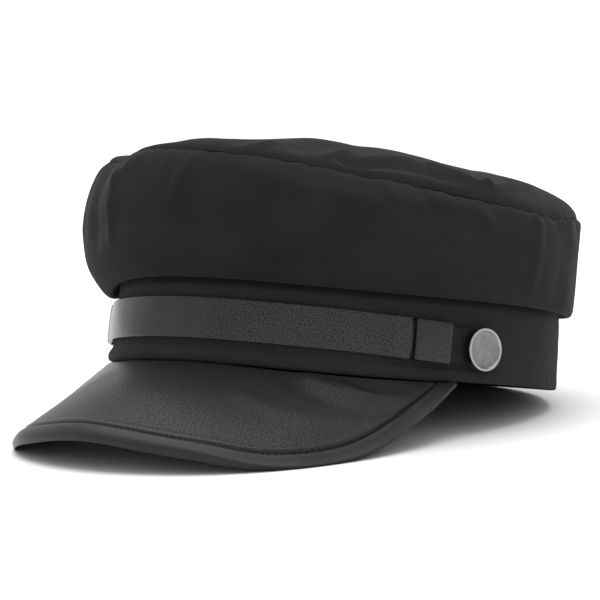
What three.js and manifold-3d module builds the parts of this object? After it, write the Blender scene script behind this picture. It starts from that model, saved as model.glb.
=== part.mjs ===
// Cadet cap: a soft cloth crown over an upright cloth band, with a leather peak, a leather strap
// across the front, and a keeper loop, a tab and a metal button at each end of the strap.
//
// Millimetres, +Z up. The peak points along -Y and the wearer's left is +X. The cap rests on the
// surface z = 0 on the two low parts of its peak's rim and on the rear of its band, so the band is
// pitched, front up. The origin is the middle of the whole cap's outer box, on that surface.
//
// The crown, band and strap are worked out in the cap's own frame, where the band stands upright:
// an angle goes round the head from 0 at the front, 90 degrees at the wearer's left, a distance
// outward is measured square to the band's oval, and a height runs up the band, whose lower edge
// lies at about 3 at the front and 11 at the rear.

import * as THREE from 'three';
import { mergeVertices } from 'three/addons/utils/BufferGeometryUtils.js';
import Module from 'manifold-3d';

const degrees = THREE.MathUtils.degToRad;

// How the cap lies
const PITCH = degrees(12.05);
const SEAT_GAP = 0.3;

// Band: its oval, its lower edge and its cloth
const BAND_HALF_LENGTH = 100;
const BAND_HALF_WIDTH = 88.9;
const BAND_FRONT_NARROWING = 0.05;
const BAND_CORNER_FLATTENING = 0.009;
const BAND_TAPER = 0.0002;
const BAND_EDGE = { mean: 6.1, front: -4.4, ends: 0.65, corners: 0.35 };
const BAND_REAR_SAG = 0.7;
const BAND_REAR_SAG_ANGLE = degrees(28);
const BAND_HEIGHT = 32;
const BAND_FACE = -0.9;
const BAND_REAR_FACE = -0.1;
const BAND_REAR_FROM = degrees(80);
const BAND_REAR_FULL = degrees(98);
const BAND_INSIDE = -3.5;
const HEM_HEIGHT = 5.2;
const HEM_BULGE = 0.5;
const HEM_FOOT = { inset: 0.15, height: 0.9 };
const HEM_FULLEST = 2.4;
const HEM_SHOULDER = { share: 0.3, height: 3.9 };
const HEM_INSIDE_FOOT = { inset: 0.9, bend: 0.2, height: 0.8 };
const BAND_FACE_SHARE = 0.72;

// Crown: side wall and domed top, all of one cloth
const CROWN_CLOTH = 2;
const CROWN_LIP_HEIGHT = 30.5;
const CROWN_WIDEST_SHARE = 0.6;
const CROWN_OVERHANG = { mean: 9.9, front: 5.9, left: -2 };
const CROWN_CORNER = 24;
const LIP_OVERHANG = 2.9;
const LIP_TUCK_SHARE = 0.7;
const SEAM_EDGE = 0.7;
const SEAM_HOLD = 0.6;
const SEAM_OVERHANG = { mean: 6.2, front: 2.95, left: -1 };
const SEAM_HEIGHT = { mean: 78.8, front: -1.66, left: -3.83, ends: 2.43, slant: -0.27, thirds: 0.37 };
const DOME_RISE = 13;
const DOME_LEFT_RISE = 0.58;
const DOME_REAR_RISE = 0.06;
const DOME_FLATNESS = 2.98;
const DOME_SHOULDER = 0.6;
const SEAM_CURVE = 1.5;
const TOP_FOLD_START = 0.3;
const TOP_FOLD_FULL = 0.6;
const TOP_FOLD_END = 0.9;

// Where the crown's lower lip hangs further over the band, or less far where the depth is
// negative: middle and half width in degrees, depth in millimetres
const LIP_DROOPS = [
  { angle: -55, halfWidth: 23, depth: 5 },
  { angle: 112, halfWidth: 18, depth: 0.6 },
];

// Dips of the seam where the cloth is gathered: the same columns
const SEAM_DIPS = [
  { angle: -24, halfWidth: 7.5, depth: 3 },
  { angle: 40, halfWidth: 5, depth: 1.2 },
  { angle: 90, halfWidth: 8, depth: 1 },
  { angle: 148, halfWidth: 9, depth: 1.6 },
  { angle: -85, halfWidth: 9, depth: 1.6 },
  { angle: -128, halfWidth: 8, depth: 1.2 },
];

// Folds of the side wall. Each runs from an upper end to a lower end, given as an angle in degrees
// and a share of the wall's height. Half width and lift are in millimetres, a crease has a
// negative lift.
const WALL_FOLDS = [
  { upper: [-20, 0.94], lower: [-33, 0.82], halfWidth: 4, lift: -0.7 },
  { upper: [-33, 0.82], lower: [-36, 0.25], halfWidth: 6, lift: -0.9 },
  { upper: [-26, 0.95], lower: [-43, 0.7], halfWidth: 6, lift: 0.8 },
  { upper: [3, 0.96], lower: [-3.5, 0.66], halfWidth: 5, lift: 0.8 },
  { upper: [17, 0.8], lower: [30, 0.74], halfWidth: 6, lift: 0.7 },
  { upper: [39, 0.72], lower: [47, 0.66], halfWidth: 6, lift: 0.7 },
  { upper: [51, 0.84], lower: [55, 0.74], halfWidth: 5, lift: 0.6 },
  { upper: [60, 0.82], lower: [66, 0.72], halfWidth: 5, lift: 0.7 },
  { upper: [70, 0.8], lower: [75, 0.7], halfWidth: 5, lift: 0.6 },
  { upper: [89, 0.98], lower: [84, 0.1], halfWidth: 7, lift: 0.9 },
  { upper: [107, 0.98], lower: [112, 0.75], halfWidth: 5, lift: -0.8 },
  { upper: [142, 0.97], lower: [150, 0.25], halfWidth: 9, lift: -1.4 },
  { upper: [175, 0.9], lower: [185, 0.3], halfWidth: 12, lift: 1 },
  { upper: [-128, 0.97], lower: [-120, 0.3], halfWidth: 9, lift: -1.4 },
  { upper: [-85, 0.97], lower: [-92, 0.3], halfWidth: 9, lift: -1.3 },
  { upper: [-60, 0.9], lower: [-66, 0.3], halfWidth: 10, lift: 1 },
];

// Folds of the domed top. Each end is an angle in degrees and a distance in from the seam in
// millimetres.
const TOP_FOLDS = [
  { outer: [-16, 4], inner: [-7, 9], halfWidth: 6, lift: -1.4 },
  { outer: [14, 6], inner: [14.5, 20], halfWidth: 5, lift: -0.8 },
  { outer: [17.5, 4], inner: [18.5, 22], halfWidth: 4.5, lift: 1 },
  { outer: [20, 26], inner: [41, 36], halfWidth: 9, lift: 0.9 },
  { outer: [34, 6], inner: [38, 16], halfWidth: 4.5, lift: 1.1 },
  { outer: [37, 4], inner: [42, 8], halfWidth: 4.5, lift: -1.4 },
  { outer: [42, 10], inner: [60, 18], halfWidth: 5, lift: 1 },
  { outer: [47, 7], inner: [60, 11], halfWidth: 5, lift: -1.2 },
  { outer: [60, 18], inner: [70, 7], halfWidth: 4.5, lift: 1.2 },
  { outer: [70, 5], inner: [82, 10], halfWidth: 4, lift: 1.1 },
  { outer: [75, 4], inner: [86, 6], halfWidth: 4.5, lift: -1.3 },
  { outer: [75, 32], inner: [84, 27], halfWidth: 9, lift: -1.1 },
  { outer: [110, 8], inner: [108, 24], halfWidth: 9, lift: 1.2 },
  { outer: [150, 6], inner: [146, 44], halfWidth: 9, lift: -1.8 },
  { outer: [-160, 8], inner: [-166, 42], halfWidth: 9, lift: 1.6 },
  { outer: [-128, 6], inner: [-122, 40], halfWidth: 9, lift: -1.8 },
  { outer: [-84, 6], inner: [-88, 42], halfWidth: 9, lift: -1.6 },
];

// Peak: half of its rim's lower edge, from the middle of the front to the wearer's left end
const PEAK_RIM = [
  { side: 0, forward: 151.5, height: 11.3 },
  { side: 37.1, forward: 142.2, height: 6.1 },
  { side: 60.1, forward: 121.3, height: -0.4 },
  { side: 74.8, forward: 90.9, height: 0.2 },
  { side: 81.6, forward: 54.8, height: 12.0 },
  { side: 82.4, forward: 36.9, height: 19.4 },
];
const PEAK_END_ANGLE = degrees(67.5);
const PEAK_ROOT_INSET = 2;
const PEAK_LEATHER = 3;
const PEAK_END_LEATHER = 1.6;
const PEAK_CAMBER = 1.5;
const PEAK_RIM_BEVEL = 2;

// Strap, and the keeper, tab and button at each end of it
const STRAP_LEATHER = 1.6;
const STRAP_LOW = 8.1;
const STRAP_HIGH = 23.5;
const STRAP_DROP = 2.8;
const STRAP_DROP_FROM = degrees(35);
const STRAP_DROP_TO = degrees(85);
const STRAP_END = degrees(56.2);
const STRAP_LIFT_FROM = degrees(49);
const STRAP_LIFT_TO = degrees(53);
const KEEPER_FROM = degrees(58);
const KEEPER_TO = degrees(65.4);
const KEEPER_LEATHER = 1.2;
const KEEPER_BACK = 0.5;
const TAB_LEATHER = 0.9;
const TAB_INSET = 0.9;
const TAB_RISE_FROM = degrees(55.8);
const TAB_RISE_TO = degrees(57.8);
const TAB_FROM = degrees(53.6);
const BUTTON_ANGLE = degrees(74.8);
const BUTTON_RADIUS = 8.2;
const BUTTON_RIM = 1.1;
const BUTTON_HEIGHT = 2.6;
const BUTTON_DISH = 0.9;
const BUTTON_SHANK_RADIUS = 2;
const HOLE_LENGTH = 16;
const TAB_END_ANGLE = BUTTON_ANGLE + degrees(3.6);
const STRAP_CORNER = 0.3;
const TAB_SEGMENTS = 10;
const KEEPER_SEGMENTS = 5;

// How finely the curves are cut into flat faces
const CROWN_SEGMENTS = 76;
const WALL_STOPS = [0, 1, 2, 2.5, 3, 3.5, 4, 5, 6, 7, 8, 9];
const WALL_FREE_FROM = 3.5;
const WALL_FREE_TO = 5;
const WALL_HELD_FROM = 8;
const WALL_HELD_TO = 9;
const BAND_SEGMENTS = 64;
const PEAK_COLUMNS = 36;
const PEAK_ROWS = 8;
const STRAP_SEGMENTS = 44;
const BUTTON_SEGMENTS = 20;
const TOP_RING_SHARES = [1, 0.985, 0.95, 0.88, 0.76, 0.6, 0.4, 0.2];
const NORMAL_STEP = 1e-3;
const SURFACE_BLOCK = 400;

const CROWN_CLOTH_FINISH = { color: 0x1b1b1c, roughness: 0.95, metalness: 0 };
const BAND_CLOTH_FINISH = { color: 0x131314, roughness: 0.95, metalness: 0 };
const PEAK_LEATHER_FINISH = { color: 0x242424, roughness: 0.5, metalness: 0 };
const STRAP_LEATHER_FINISH = { color: 0x2a2a2a, roughness: 0.45, metalness: 0 };
const BUTTON_METAL_FINISH = { color: 0x9a9a9a, roughness: 0.4, metalness: 1 };

// The cap's own frame: its oval, its lower edge and the surface it rests on

function bandOutline(angle, height) {
  const corners = 1 - BAND_CORNER_FLATTENING * (1 - Math.cos(4 * angle));
  const size = (1 - BAND_TAPER * height) * corners;
  const halfWidth = BAND_HALF_WIDTH * (1 - BAND_FRONT_NARROWING * Math.cos(angle));
  return new THREE.Vector2(halfWidth * Math.sin(angle) * size, -BAND_HALF_LENGTH * Math.cos(angle) * size);
}

function outwardDirection(angle) {
  const ahead = bandOutline(angle + NORMAL_STEP, 0);
  const behind = bandOutline(angle - NORMAL_STEP, 0);
  const along = ahead.sub(behind).normalize();
  return new THREE.Vector2(along.y, -along.x);
}

function pointRound(angle, outward, height, outlineHeight = Math.min(height, BAND_HEIGHT)) {
  const place = bandOutline(angle, outlineHeight).addScaledVector(outwardDirection(angle), outward);
  return new THREE.Vector3(place.x, place.y, height);
}

function bandEdge(angle) {
  const slope = BAND_EDGE.mean + BAND_EDGE.front * Math.cos(angle);
  return slope + BAND_EDGE.ends * Math.cos(2 * angle) + BAND_EDGE.corners * Math.cos(4 * angle);
}

// The lower edge sags a little where the band's rear rests on the surface
function bandLowerEdge(angle) {
  const fromRear = Math.PI - Math.abs(angle);
  return bandEdge(angle) - BAND_REAR_SAG * Math.exp(-((fromRear / BAND_REAR_SAG_ANGLE) ** 2));
}

// How high the cap's own frame stands, so that the rear of the band meets the surface
const SEAT_HEIGHT = BAND_HALF_LENGTH * Math.sin(PITCH) - bandEdge(Math.PI) * Math.cos(PITCH);

// From the cap's own frame to the frame of the surface it rests on
function pitched(point) {
  const turned = point.clone().applyAxisAngle(new THREE.Vector3(1, 0, 0), -PITCH);
  turned.z += SEAT_HEIGHT;
  return turned;
}

function smoothStep(from, to, value) {
  return THREE.MathUtils.smoothstep(value, from, to);
}

// Turns an angle into the range from -180 to 180 degrees, in radians
function wrapped(angle) {
  return Math.atan2(Math.sin(angle), Math.cos(angle));
}

function sumOfDips(dips, angle) {
  let sum = 0;
  for (const dip of dips) {
    const away = wrapped(angle - degrees(dip.angle)) / degrees(dip.halfWidth);
    sum += dip.depth * Math.exp(-away * away);
  }
  return sum;
}

// How far a fold lifts the cloth at a place: full along the line from one end to the other, and
// fading to either side of it
function foldLift(place, start, end, halfWidth, lift) {
  const line = end.clone().sub(start);
  const share = THREE.MathUtils.clamp(place.clone().sub(start).dot(line) / line.lengthSq(), 0, 1);
  const away = place.distanceTo(start.clone().addScaledVector(line, share)) / halfWidth;
  return lift * Math.exp(-away * away);
}

// Closed solids from faces worked out point by point

function solidGeometry(points, triangles) {
  const geometry = new THREE.BufferGeometry();
  const positions = points.flatMap((point) => [point.x, point.y, point.z]);
  geometry.setAttribute('position', new THREE.Float32BufferAttribute(positions, 3));
  geometry.setIndex(triangles);
  geometry.computeVertexNormals();
  return geometry;
}

// Joins neighbouring closed loops of points with two triangles for each side
function skinBetween(loopCount, loopSize, isRing, triangles) {
  const spans = isRing ? loopCount : loopCount - 1;
  for (let span = 0; span < spans; span += 1) {
    const here = span * loopSize;
    const next = ((span + 1) % loopCount) * loopSize;
    for (let side = 0; side < loopSize; side += 1) {
      const after = (side + 1) % loopSize;
      triangles.push(here + side, next + side, next + after);
      triangles.push(here + side, next + after, here + after);
    }
  }
}

// A ring all the way round the head. loopAt gives the section's points at an angle.
function ringSolid(loopAt, segments) {
  const loops = [];
  for (let segment = 0; segment < segments; segment += 1) {
    const angle = wrapped((segment / segments) * 2 * Math.PI);
    loops.push(loopAt(angle));
  }
  const triangles = [];
  skinBetween(segments, loops[0].length, true, triangles);
  return solidGeometry(loops.flat(), triangles);
}

// A length round the head, closed by a flat face at each end
function arcSolid(loopAt, from, to, segments) {
  const loops = [];
  for (let segment = 0; segment <= segments; segment += 1) {
    loops.push(loopAt(THREE.MathUtils.lerp(from, to, segment / segments)));
  }
  const size = loops[0].length;
  const last = segments * size;
  const triangles = [];
  skinBetween(segments + 1, size, false, triangles);
  for (let side = 1; side < size - 1; side += 1) {
    triangles.push(0, side, side + 1);
    triangles.push(last, last + side + 1, last + side);
  }
  return solidGeometry(loops.flat(), triangles);
}

// A sleeve round part of the head: an outer skin and an inner skin joined at both ends
function sleeveSolid(outerAt, innerAt, from, to, segments) {
  const outerLoops = [];
  const innerLoops = [];
  for (let segment = 0; segment <= segments; segment += 1) {
    const angle = THREE.MathUtils.lerp(from, to, segment / segments);
    outerLoops.push(outerAt(angle));
    innerLoops.push(innerAt(angle).reverse());
  }
  const size = outerLoops[0].length;
  const triangles = [];
  skinBetween(segments + 1, size, false, triangles);
  const inside = (segments + 1) * size;
  const insideTriangles = [];
  skinBetween(segments + 1, size, false, insideTriangles);
  triangles.push(...insideTriangles.map((corner) => corner + inside));
  const last = segments * size;
  for (let side = 0; side < size; side += 1) {
    const after = (side + 1) % size;
    const innerSide = inside + size - 1 - side;
    const innerAfter = inside + size - 1 - after;
    triangles.push(side, after, innerAfter, side, innerAfter, innerSide);
    triangles.push(last + side, last + innerAfter, last + after);
    triangles.push(last + side, last + innerSide, last + innerAfter);
  }
  return solidGeometry([...outerLoops.flat(), ...innerLoops.flat()], triangles);
}

// A bar's section with its corners cut off: outward and height for each corner, going round
function barSection(inner, outer, low, high, corner) {
  return [
    [outer - corner, low], [outer, low + corner], [outer, high - corner], [outer - corner, high],
    [inner + corner, high], [inner, high - corner], [inner, low + corner], [inner + corner, low],
  ];
}

// The loop round a bent strip of cloth, from the rows of its middle line. Stops count along the
// rows: 1.5 is half way from row 1 to row 2.
function clothSection(middleRows, thickness, stops) {
  const rows = middleRows.map(([outward, height]) => new THREE.Vector3(outward, height, 0));
  const middle = new THREE.CatmullRomCurve3(rows, false, 'centripetal');
  const outside = [];
  const inside = [];
  for (const stop of stops) {
    const point = middle.getPoint(stop / (rows.length - 1));
    const along = middle.getTangent(stop / (rows.length - 1));
    const across = [along.y, -along.x];
    outside.push([point.x + across[0] * thickness / 2, point.y + across[1] * thickness / 2]);
    inside.push([point.x - across[0] * thickness / 2, point.y - across[1] * thickness / 2]);
  }
  return [...outside, ...inside.reverse()];
}

// Band

function bandLoop(angle) {
  const low = bandLowerEdge(angle);
  const rear = smoothStep(BAND_REAR_FROM, BAND_REAR_FULL, Math.abs(angle));
  const face = THREE.MathUtils.lerp(BAND_FACE, BAND_REAR_FACE, rear);
  const bulge = THREE.MathUtils.lerp(HEM_BULGE, BAND_REAR_FACE, rear);
  const shoulder = THREE.MathUtils.lerp(bulge, face, HEM_SHOULDER.share);
  const section = [
    [BAND_FACE, 0], [bulge - HEM_FOOT.inset, HEM_FOOT.height], [bulge, HEM_FULLEST],
    [shoulder, HEM_SHOULDER.height], [face, HEM_HEIGHT], [face, BAND_HEIGHT * BAND_FACE_SHARE],
    [BAND_FACE, BAND_HEIGHT], [BAND_INSIDE, BAND_HEIGHT], [BAND_INSIDE, HEM_HEIGHT],
    [BAND_INSIDE + HEM_INSIDE_FOOT.bend, HEM_INSIDE_FOOT.height], [BAND_INSIDE + HEM_INSIDE_FOOT.inset, 0],
  ];
  return section.map(([outward, height]) => pointRound(angle, outward, low + height));
}

// Crown

function roundTheHead(share, angle) {
  return share.mean + share.front * Math.cos(angle) + share.left * Math.sin(angle);
}

function seamHeight(angle) {
  const broad = roundTheHead(SEAM_HEIGHT, angle) + SEAM_HEIGHT.ends * Math.cos(2 * angle);
  const slanted = broad + SEAM_HEIGHT.slant * Math.sin(2 * angle) + SEAM_HEIGHT.thirds * Math.cos(3 * angle);
  return slanted - sumOfDips(SEAM_DIPS, angle);
}

function wallFoldLift(angle, share, wallHeight) {
  let lift = 0;
  const place = new THREE.Vector2(0, share * wallHeight);
  for (const fold of WALL_FOLDS) {
    const middle = (fold.upper[0] + fold.lower[0]) / 2;
    const away = wrapped(degrees(middle) - angle);
    const round = (end) => (away + degrees(end[0] - middle)) * BAND_HALF_LENGTH;
    const upper = new THREE.Vector2(round(fold.upper), fold.upper[1] * wallHeight);
    const lower = new THREE.Vector2(round(fold.lower), fold.lower[1] * wallHeight);
    lift += foldLift(place, upper, lower, fold.halfWidth, fold.lift);
  }
  return lift;
}

function crownSideLoop(angle) {
  const half = CROWN_CLOTH / 2;
  const bandTop = bandLowerEdge(angle) + BAND_HEIGHT;
  const onBand = bandTop + SEAT_GAP + half;
  const lip = bandLowerEdge(angle) + CROWN_LIP_HEIGHT - sumOfDips(LIP_DROOPS, angle);
  const tuck = THREE.MathUtils.lerp(bandTop, lip + CROWN_CLOTH, LIP_TUCK_SHARE);
  const widest = roundTheHead(CROWN_OVERHANG, angle) - half;
  const corner = (widest * widest) / CROWN_CORNER;
  const seam = roundTheHead(SEAM_OVERHANG, angle) - SEAM_EDGE * half;
  const top = seamHeight(angle) - SEAM_EDGE * half;
  const tall = top - lip;
  const lean = widest - seam;
  const rows = [
    // the cloth's lower edge, lying on the band, and its turn down over the band's face
    [BAND_INSIDE + 1.1, onBand],
    [BAND_FACE + 0.7, onBand],
    [BAND_FACE + 2.5, tuck],
    // the lip at its lowest, and the corner up into the wall
    [Math.min(LIP_OVERHANG, 0.5 * widest + 0.8), lip + half],
    [0.72 * widest + 0.6, lip + half + corner],
    [0.94 * widest, lip + half + 2.1 * corner],
    // the wall at its widest, and its lean in to the seam
    [widest, lip + CROWN_WIDEST_SHARE * tall],
    [widest - 0.15 * lean, lip + 0.8 * tall],
    [widest - 0.45 * lean, lip + 0.93 * tall],
    [seam, top],
  ];
  const section = clothSection(rows, CROWN_CLOTH, WALL_STOPS);
  const stops = [...WALL_STOPS, ...WALL_STOPS.toReversed()];
  return section.map(([outward, height], index) => {
    const share = (height - lip) / tall;
    const freed = smoothStep(WALL_FREE_FROM, WALL_FREE_TO, stops[index]);
    const held = 1 - SEAM_HOLD * smoothStep(WALL_HELD_FROM, WALL_HELD_TO, stops[index]);
    const lift = freed * held * wallFoldLift(angle, share, tall);
    return pointRound(angle, outward + lift, height, BAND_HEIGHT);
  });
}

function seamPoint(angle, inset) {
  const outward = roundTheHead(SEAM_OVERHANG, angle) - inset;
  return pointRound(angle, outward, seamHeight(angle), BAND_HEIGHT);
}

function topFoldLift(place) {
  let lift = 0;
  for (const fold of TOP_FOLDS) {
    const start = seamPoint(degrees(fold.outer[0]), fold.outer[1]);
    const end = seamPoint(degrees(fold.inner[0]), fold.inner[1]);
    const from = new THREE.Vector2(start.x, start.y);
    const to = new THREE.Vector2(end.x, end.y);
    lift += foldLift(place, from, to, fold.halfWidth, fold.lift);
  }
  return lift;
}

// A point of the domed top, share 0 at its middle and 1 at the seam. depth is how far it lies
// inside the outer face.
function topPoint(angle, share, depth) {
  const rim = seamPoint(angle, SEAT_GAP + depth);
  const x = rim.x * share;
  const y = rim.y * share;
  const fullness = (1 - share ** DOME_FLATNESS) ** DOME_SHOULDER;
  const sideways = 1 + DOME_LEFT_RISE * x / BAND_HALF_WIDTH + DOME_REAR_RISE * y / BAND_HALF_LENGTH;
  const base = SEAM_HEIGHT.mean + (rim.z - SEAM_HEIGHT.mean) * share ** SEAM_CURVE + SEAT_GAP;
  const faded = (1 - smoothStep(TOP_FOLD_END, 1, share)) * smoothStep(TOP_FOLD_START, TOP_FOLD_FULL, share);
  const folds = topFoldLift(new THREE.Vector2(x, y)) * faded;
  return new THREE.Vector3(x, y, base + (DOME_RISE * sideways - depth) * fullness + folds);
}

function crownTopGeometry() {
  const points = [];
  for (const depth of [0, CROWN_CLOTH]) {
    for (const share of TOP_RING_SHARES) {
      for (let segment = 0; segment < CROWN_SEGMENTS; segment += 1) {
        const angle = wrapped((segment / CROWN_SEGMENTS) * 2 * Math.PI);
        points.push(topPoint(angle, share, depth));
      }
    }
    points.push(topPoint(0, 0, depth));
  }
  const rings = TOP_RING_SHARES.length;
  const inside = rings * CROWN_SEGMENTS + 1;
  const triangles = [];
  for (let segment = 0; segment < CROWN_SEGMENTS; segment += 1) {
    const next = (segment + 1) % CROWN_SEGMENTS;
    for (let ring = 0; ring < rings - 1; ring += 1) {
      const a = ring * CROWN_SEGMENTS + segment;
      const b = ring * CROWN_SEGMENTS + next;
      const c = b + CROWN_SEGMENTS;
      const d = a + CROWN_SEGMENTS;
      triangles.push(a, b, c, a, c, d);
      triangles.push(inside + a, inside + c, inside + b, inside + a, inside + d, inside + c);
    }
    const innermost = (rings - 1) * CROWN_SEGMENTS;
    triangles.push(innermost + segment, innermost + next, inside - 1);
    triangles.push(inside + innermost + segment, 2 * inside - 1, inside + innermost + next);
    triangles.push(segment, inside + segment, inside + next, segment, inside + next, next);
  }
  return solidGeometry(points, triangles);
}

// Peak, in the frame of the surface it rests on

function peakRimCurve() {
  const left = PEAK_RIM.map(({ side, forward, height }) => new THREE.Vector3(side, -forward, height));
  const right = left.slice(1).reverse().map((point) => new THREE.Vector3(-point.x, point.y, point.z));
  return new THREE.CatmullRomCurve3([...right, ...left], false, 'centripetal');
}

function peakGeometry() {
  const rim = peakRimCurve();
  const underside = [];
  const leather = [];
  for (let column = 0; column <= PEAK_COLUMNS; column += 1) {
    const across = (2 * column) / PEAK_COLUMNS - 1;
    const thickness = THREE.MathUtils.lerp(PEAK_LEATHER, PEAK_END_LEATHER, across ** 8);
    const angle = PEAK_END_ANGLE * across;
    const rootHeight = bandLowerEdge(angle) - SEAT_GAP - thickness;
    const root = pitched(pointRound(angle, -PEAK_ROOT_INSET, rootHeight, 0));
    const edge = rim.getPointAt(column / PEAK_COLUMNS);
    for (let row = 0; row <= PEAK_ROWS; row += 1) {
      const share = row / PEAK_ROWS;
      const point = root.clone().lerp(edge, share);
      point.z += PEAK_CAMBER * (1 - across * across) * Math.sin(Math.PI * share);
      underside.push(point);
      leather.push(thickness);
    }
  }
  const rowPoints = PEAK_ROWS + 1;
  const at = (column, row) => column * rowPoints + row;
  const upperside = [];
  for (let column = 0; column <= PEAK_COLUMNS; column += 1) {
    for (let row = 0; row <= PEAK_ROWS; row += 1) {
      const columnAfter = Math.min(column + 1, PEAK_COLUMNS);
      const columnBefore = Math.max(column - 1, 0);
      const sideways = underside[at(columnAfter, row)].clone().sub(underside[at(columnBefore, row)]);
      const rowAfter = Math.min(row + 1, PEAK_ROWS);
      const rowBefore = Math.max(row - 1, 0);
      const forward = underside[at(column, rowAfter)].clone().sub(underside[at(column, rowBefore)]);
      const up = forward.clone().cross(sideways).normalize();
      const upper = underside[at(column, row)].clone().addScaledVector(up, leather[at(column, row)]);
      if (row === PEAK_ROWS) upper.addScaledVector(forward.normalize(), -PEAK_RIM_BEVEL);
      upperside.push(upper);
    }
  }
  const points = [...upperside, ...underside];
  const below = upperside.length;
  const triangles = [];
  for (let column = 0; column < PEAK_COLUMNS; column += 1) {
    for (let row = 0; row < PEAK_ROWS; row += 1) {
      const a = at(column, row);
      const b = at(column + 1, row);
      const c = at(column + 1, row + 1);
      const d = at(column, row + 1);
      triangles.push(a, c, b, a, d, c);
      triangles.push(below + a, below + b, below + c, below + a, below + c, below + d);
    }
  }
  const closeEdge = (a, b) => triangles.push(a, b, below + b, a, below + b, below + a);
  for (let column = 0; column < PEAK_COLUMNS; column += 1) {
    closeEdge(at(column, 0), at(column + 1, 0));
    closeEdge(at(column + 1, PEAK_ROWS), at(column, PEAK_ROWS));
  }
  for (let row = 0; row < PEAK_ROWS; row += 1) {
    closeEdge(at(0, row + 1), at(0, row));
    closeEdge(at(PEAK_COLUMNS, row), at(PEAK_COLUMNS, row + 1));
  }
  return solidGeometry(points, triangles);
}

// Strap and what is on it

function strapDrop(angle) {
  return STRAP_DROP * smoothStep(STRAP_DROP_FROM, STRAP_DROP_TO, Math.abs(angle));
}

function strapLoopAt(sectionAt) {
  return (angle) => {
    const base = bandLowerEdge(angle) - strapDrop(angle);
    return sectionAt(angle).map(([outward, height]) => pointRound(angle, outward, base + height));
  };
}

const ON_BAND = BAND_FACE + SEAT_GAP;
const IN_KEEPER = ON_BAND + KEEPER_BACK + SEAT_GAP;

// The tab lies on the band under the strap's end, and rises to pass through the keeper
function tabInner(angle) {
  const risen = smoothStep(TAB_RISE_FROM, TAB_RISE_TO, Math.abs(angle));
  return THREE.MathUtils.lerp(ON_BAND, IN_KEEPER, risen);
}

function strapSection(angle) {
  const lifted = smoothStep(STRAP_LIFT_FROM, STRAP_LIFT_TO, Math.abs(angle));
  const inner = ON_BAND + lifted * (tabInner(angle) + TAB_LEATHER + SEAT_GAP - ON_BAND);
  return barSection(inner, inner + STRAP_LEATHER, STRAP_LOW, STRAP_HIGH, STRAP_CORNER);
}

function tabSection(angle) {
  const inner = tabInner(angle);
  return barSection(inner, inner + TAB_LEATHER, STRAP_LOW + TAB_INSET, STRAP_HIGH - TAB_INSET, STRAP_CORNER);
}

function keeperOuterSection() {
  const outer = IN_KEEPER + TAB_LEATHER + SEAT_GAP + KEEPER_LEATHER;
  return barSection(ON_BAND, outer, STRAP_LOW, STRAP_HIGH, 0.5);
}

function keeperInnerSection() {
  const outer = IN_KEEPER + TAB_LEATHER + SEAT_GAP;
  const clear = TAB_INSET - SEAT_GAP;
  return barSection(IN_KEEPER - SEAT_GAP, outer, STRAP_LOW + clear, STRAP_HIGH - clear, 0.2);
}

// A round pin that runs out from the band at a button, longer than what it passes through
function pinGeometry(radius, length) {
  const pin = new THREE.CylinderGeometry(radius, radius, length, BUTTON_SEGMENTS);
  pin.rotateX(Math.PI / 2);
  return pin;
}

function buttonPlace(side) {
  const angle = side * BUTTON_ANGLE;
  const middle = (STRAP_LOW + STRAP_HIGH) / 2;
  const height = bandLowerEdge(angle) - strapDrop(angle) + middle;
  const outward = outwardDirection(angle);
  const facing = new THREE.Vector3(outward.x, outward.y, 0);
  const turn = new THREE.Quaternion().setFromUnitVectors(new THREE.Vector3(0, 0, 1), facing);
  return { point: pointRound(angle, IN_KEEPER + TAB_LEATHER, height), turn };
}

// The button faces +Z here: a shank, then a dished disc with a raised rim
function buttonGeometry() {
  const back = SEAT_GAP;
  const front = back + BUTTON_HEIGHT;
  const shankEnd = -(IN_KEEPER + TAB_LEATHER - BAND_INSIDE);
  const profile = [
    [0, shankEnd], [BUTTON_SHANK_RADIUS, shankEnd], [BUTTON_SHANK_RADIUS, back],
    [BUTTON_RADIUS - 0.7, back], [BUTTON_RADIUS, back + 0.7], [BUTTON_RADIUS, front - 0.5],
    [BUTTON_RADIUS - 0.4, front], [BUTTON_RADIUS - BUTTON_RIM, front],
    [BUTTON_RADIUS - BUTTON_RIM - 0.9, front - BUTTON_DISH * 0.8],
    [BUTTON_RADIUS * 0.5, front - BUTTON_DISH], [0, front - BUTTON_DISH],
  ];
  const points = profile.map(([radius, height]) => new THREE.Vector2(radius, height));
  const lathe = new THREE.LatheGeometry(points, BUTTON_SEGMENTS);
  lathe.rotateX(Math.PI / 2);
  lathe.deleteAttribute('normal');
  lathe.deleteAttribute('uv');
  const button = mergeVertices(lathe, 1e-4);
  button.computeVertexNormals();
  return button;
}

// Cuts: the holes for the buttons' shanks, and what rests on the surface pressed flat against it

const solids = await Module();
solids.setup();

function toSolid(geometry) {
  const bare = geometry.clone();
  bare.deleteAttribute('normal');
  bare.deleteAttribute('uv');
  const joined = mergeVertices(bare, 1e-4);
  const vertProperties = new Float32Array(joined.attributes.position.array);
  const triVerts = new Uint32Array(joined.index.array);
  return new solids.Manifold(new solids.Mesh({ numProp: 3, vertProperties, triVerts }));
}

function fromSolid(solid) {
  const mesh = solid.getMesh();
  const geometry = new THREE.BufferGeometry();
  geometry.setAttribute('position', new THREE.BufferAttribute(mesh.vertProperties, 3));
  geometry.setIndex(new THREE.BufferAttribute(mesh.triVerts, 1));
  geometry.computeVertexNormals();
  return geometry;
}

function drilled(geometry, sides) {
  let solid = toSolid(geometry);
  for (const side of sides) {
    const { point, turn } = buttonPlace(side);
    const hole = pinGeometry(BUTTON_SHANK_RADIUS + SEAT_GAP, HOLE_LENGTH);
    hole.applyQuaternion(turn);
    hole.translate(point.x, point.y, point.z);
    solid = solid.subtract(toSolid(hole));
  }
  return fromSolid(solid);
}

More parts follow.
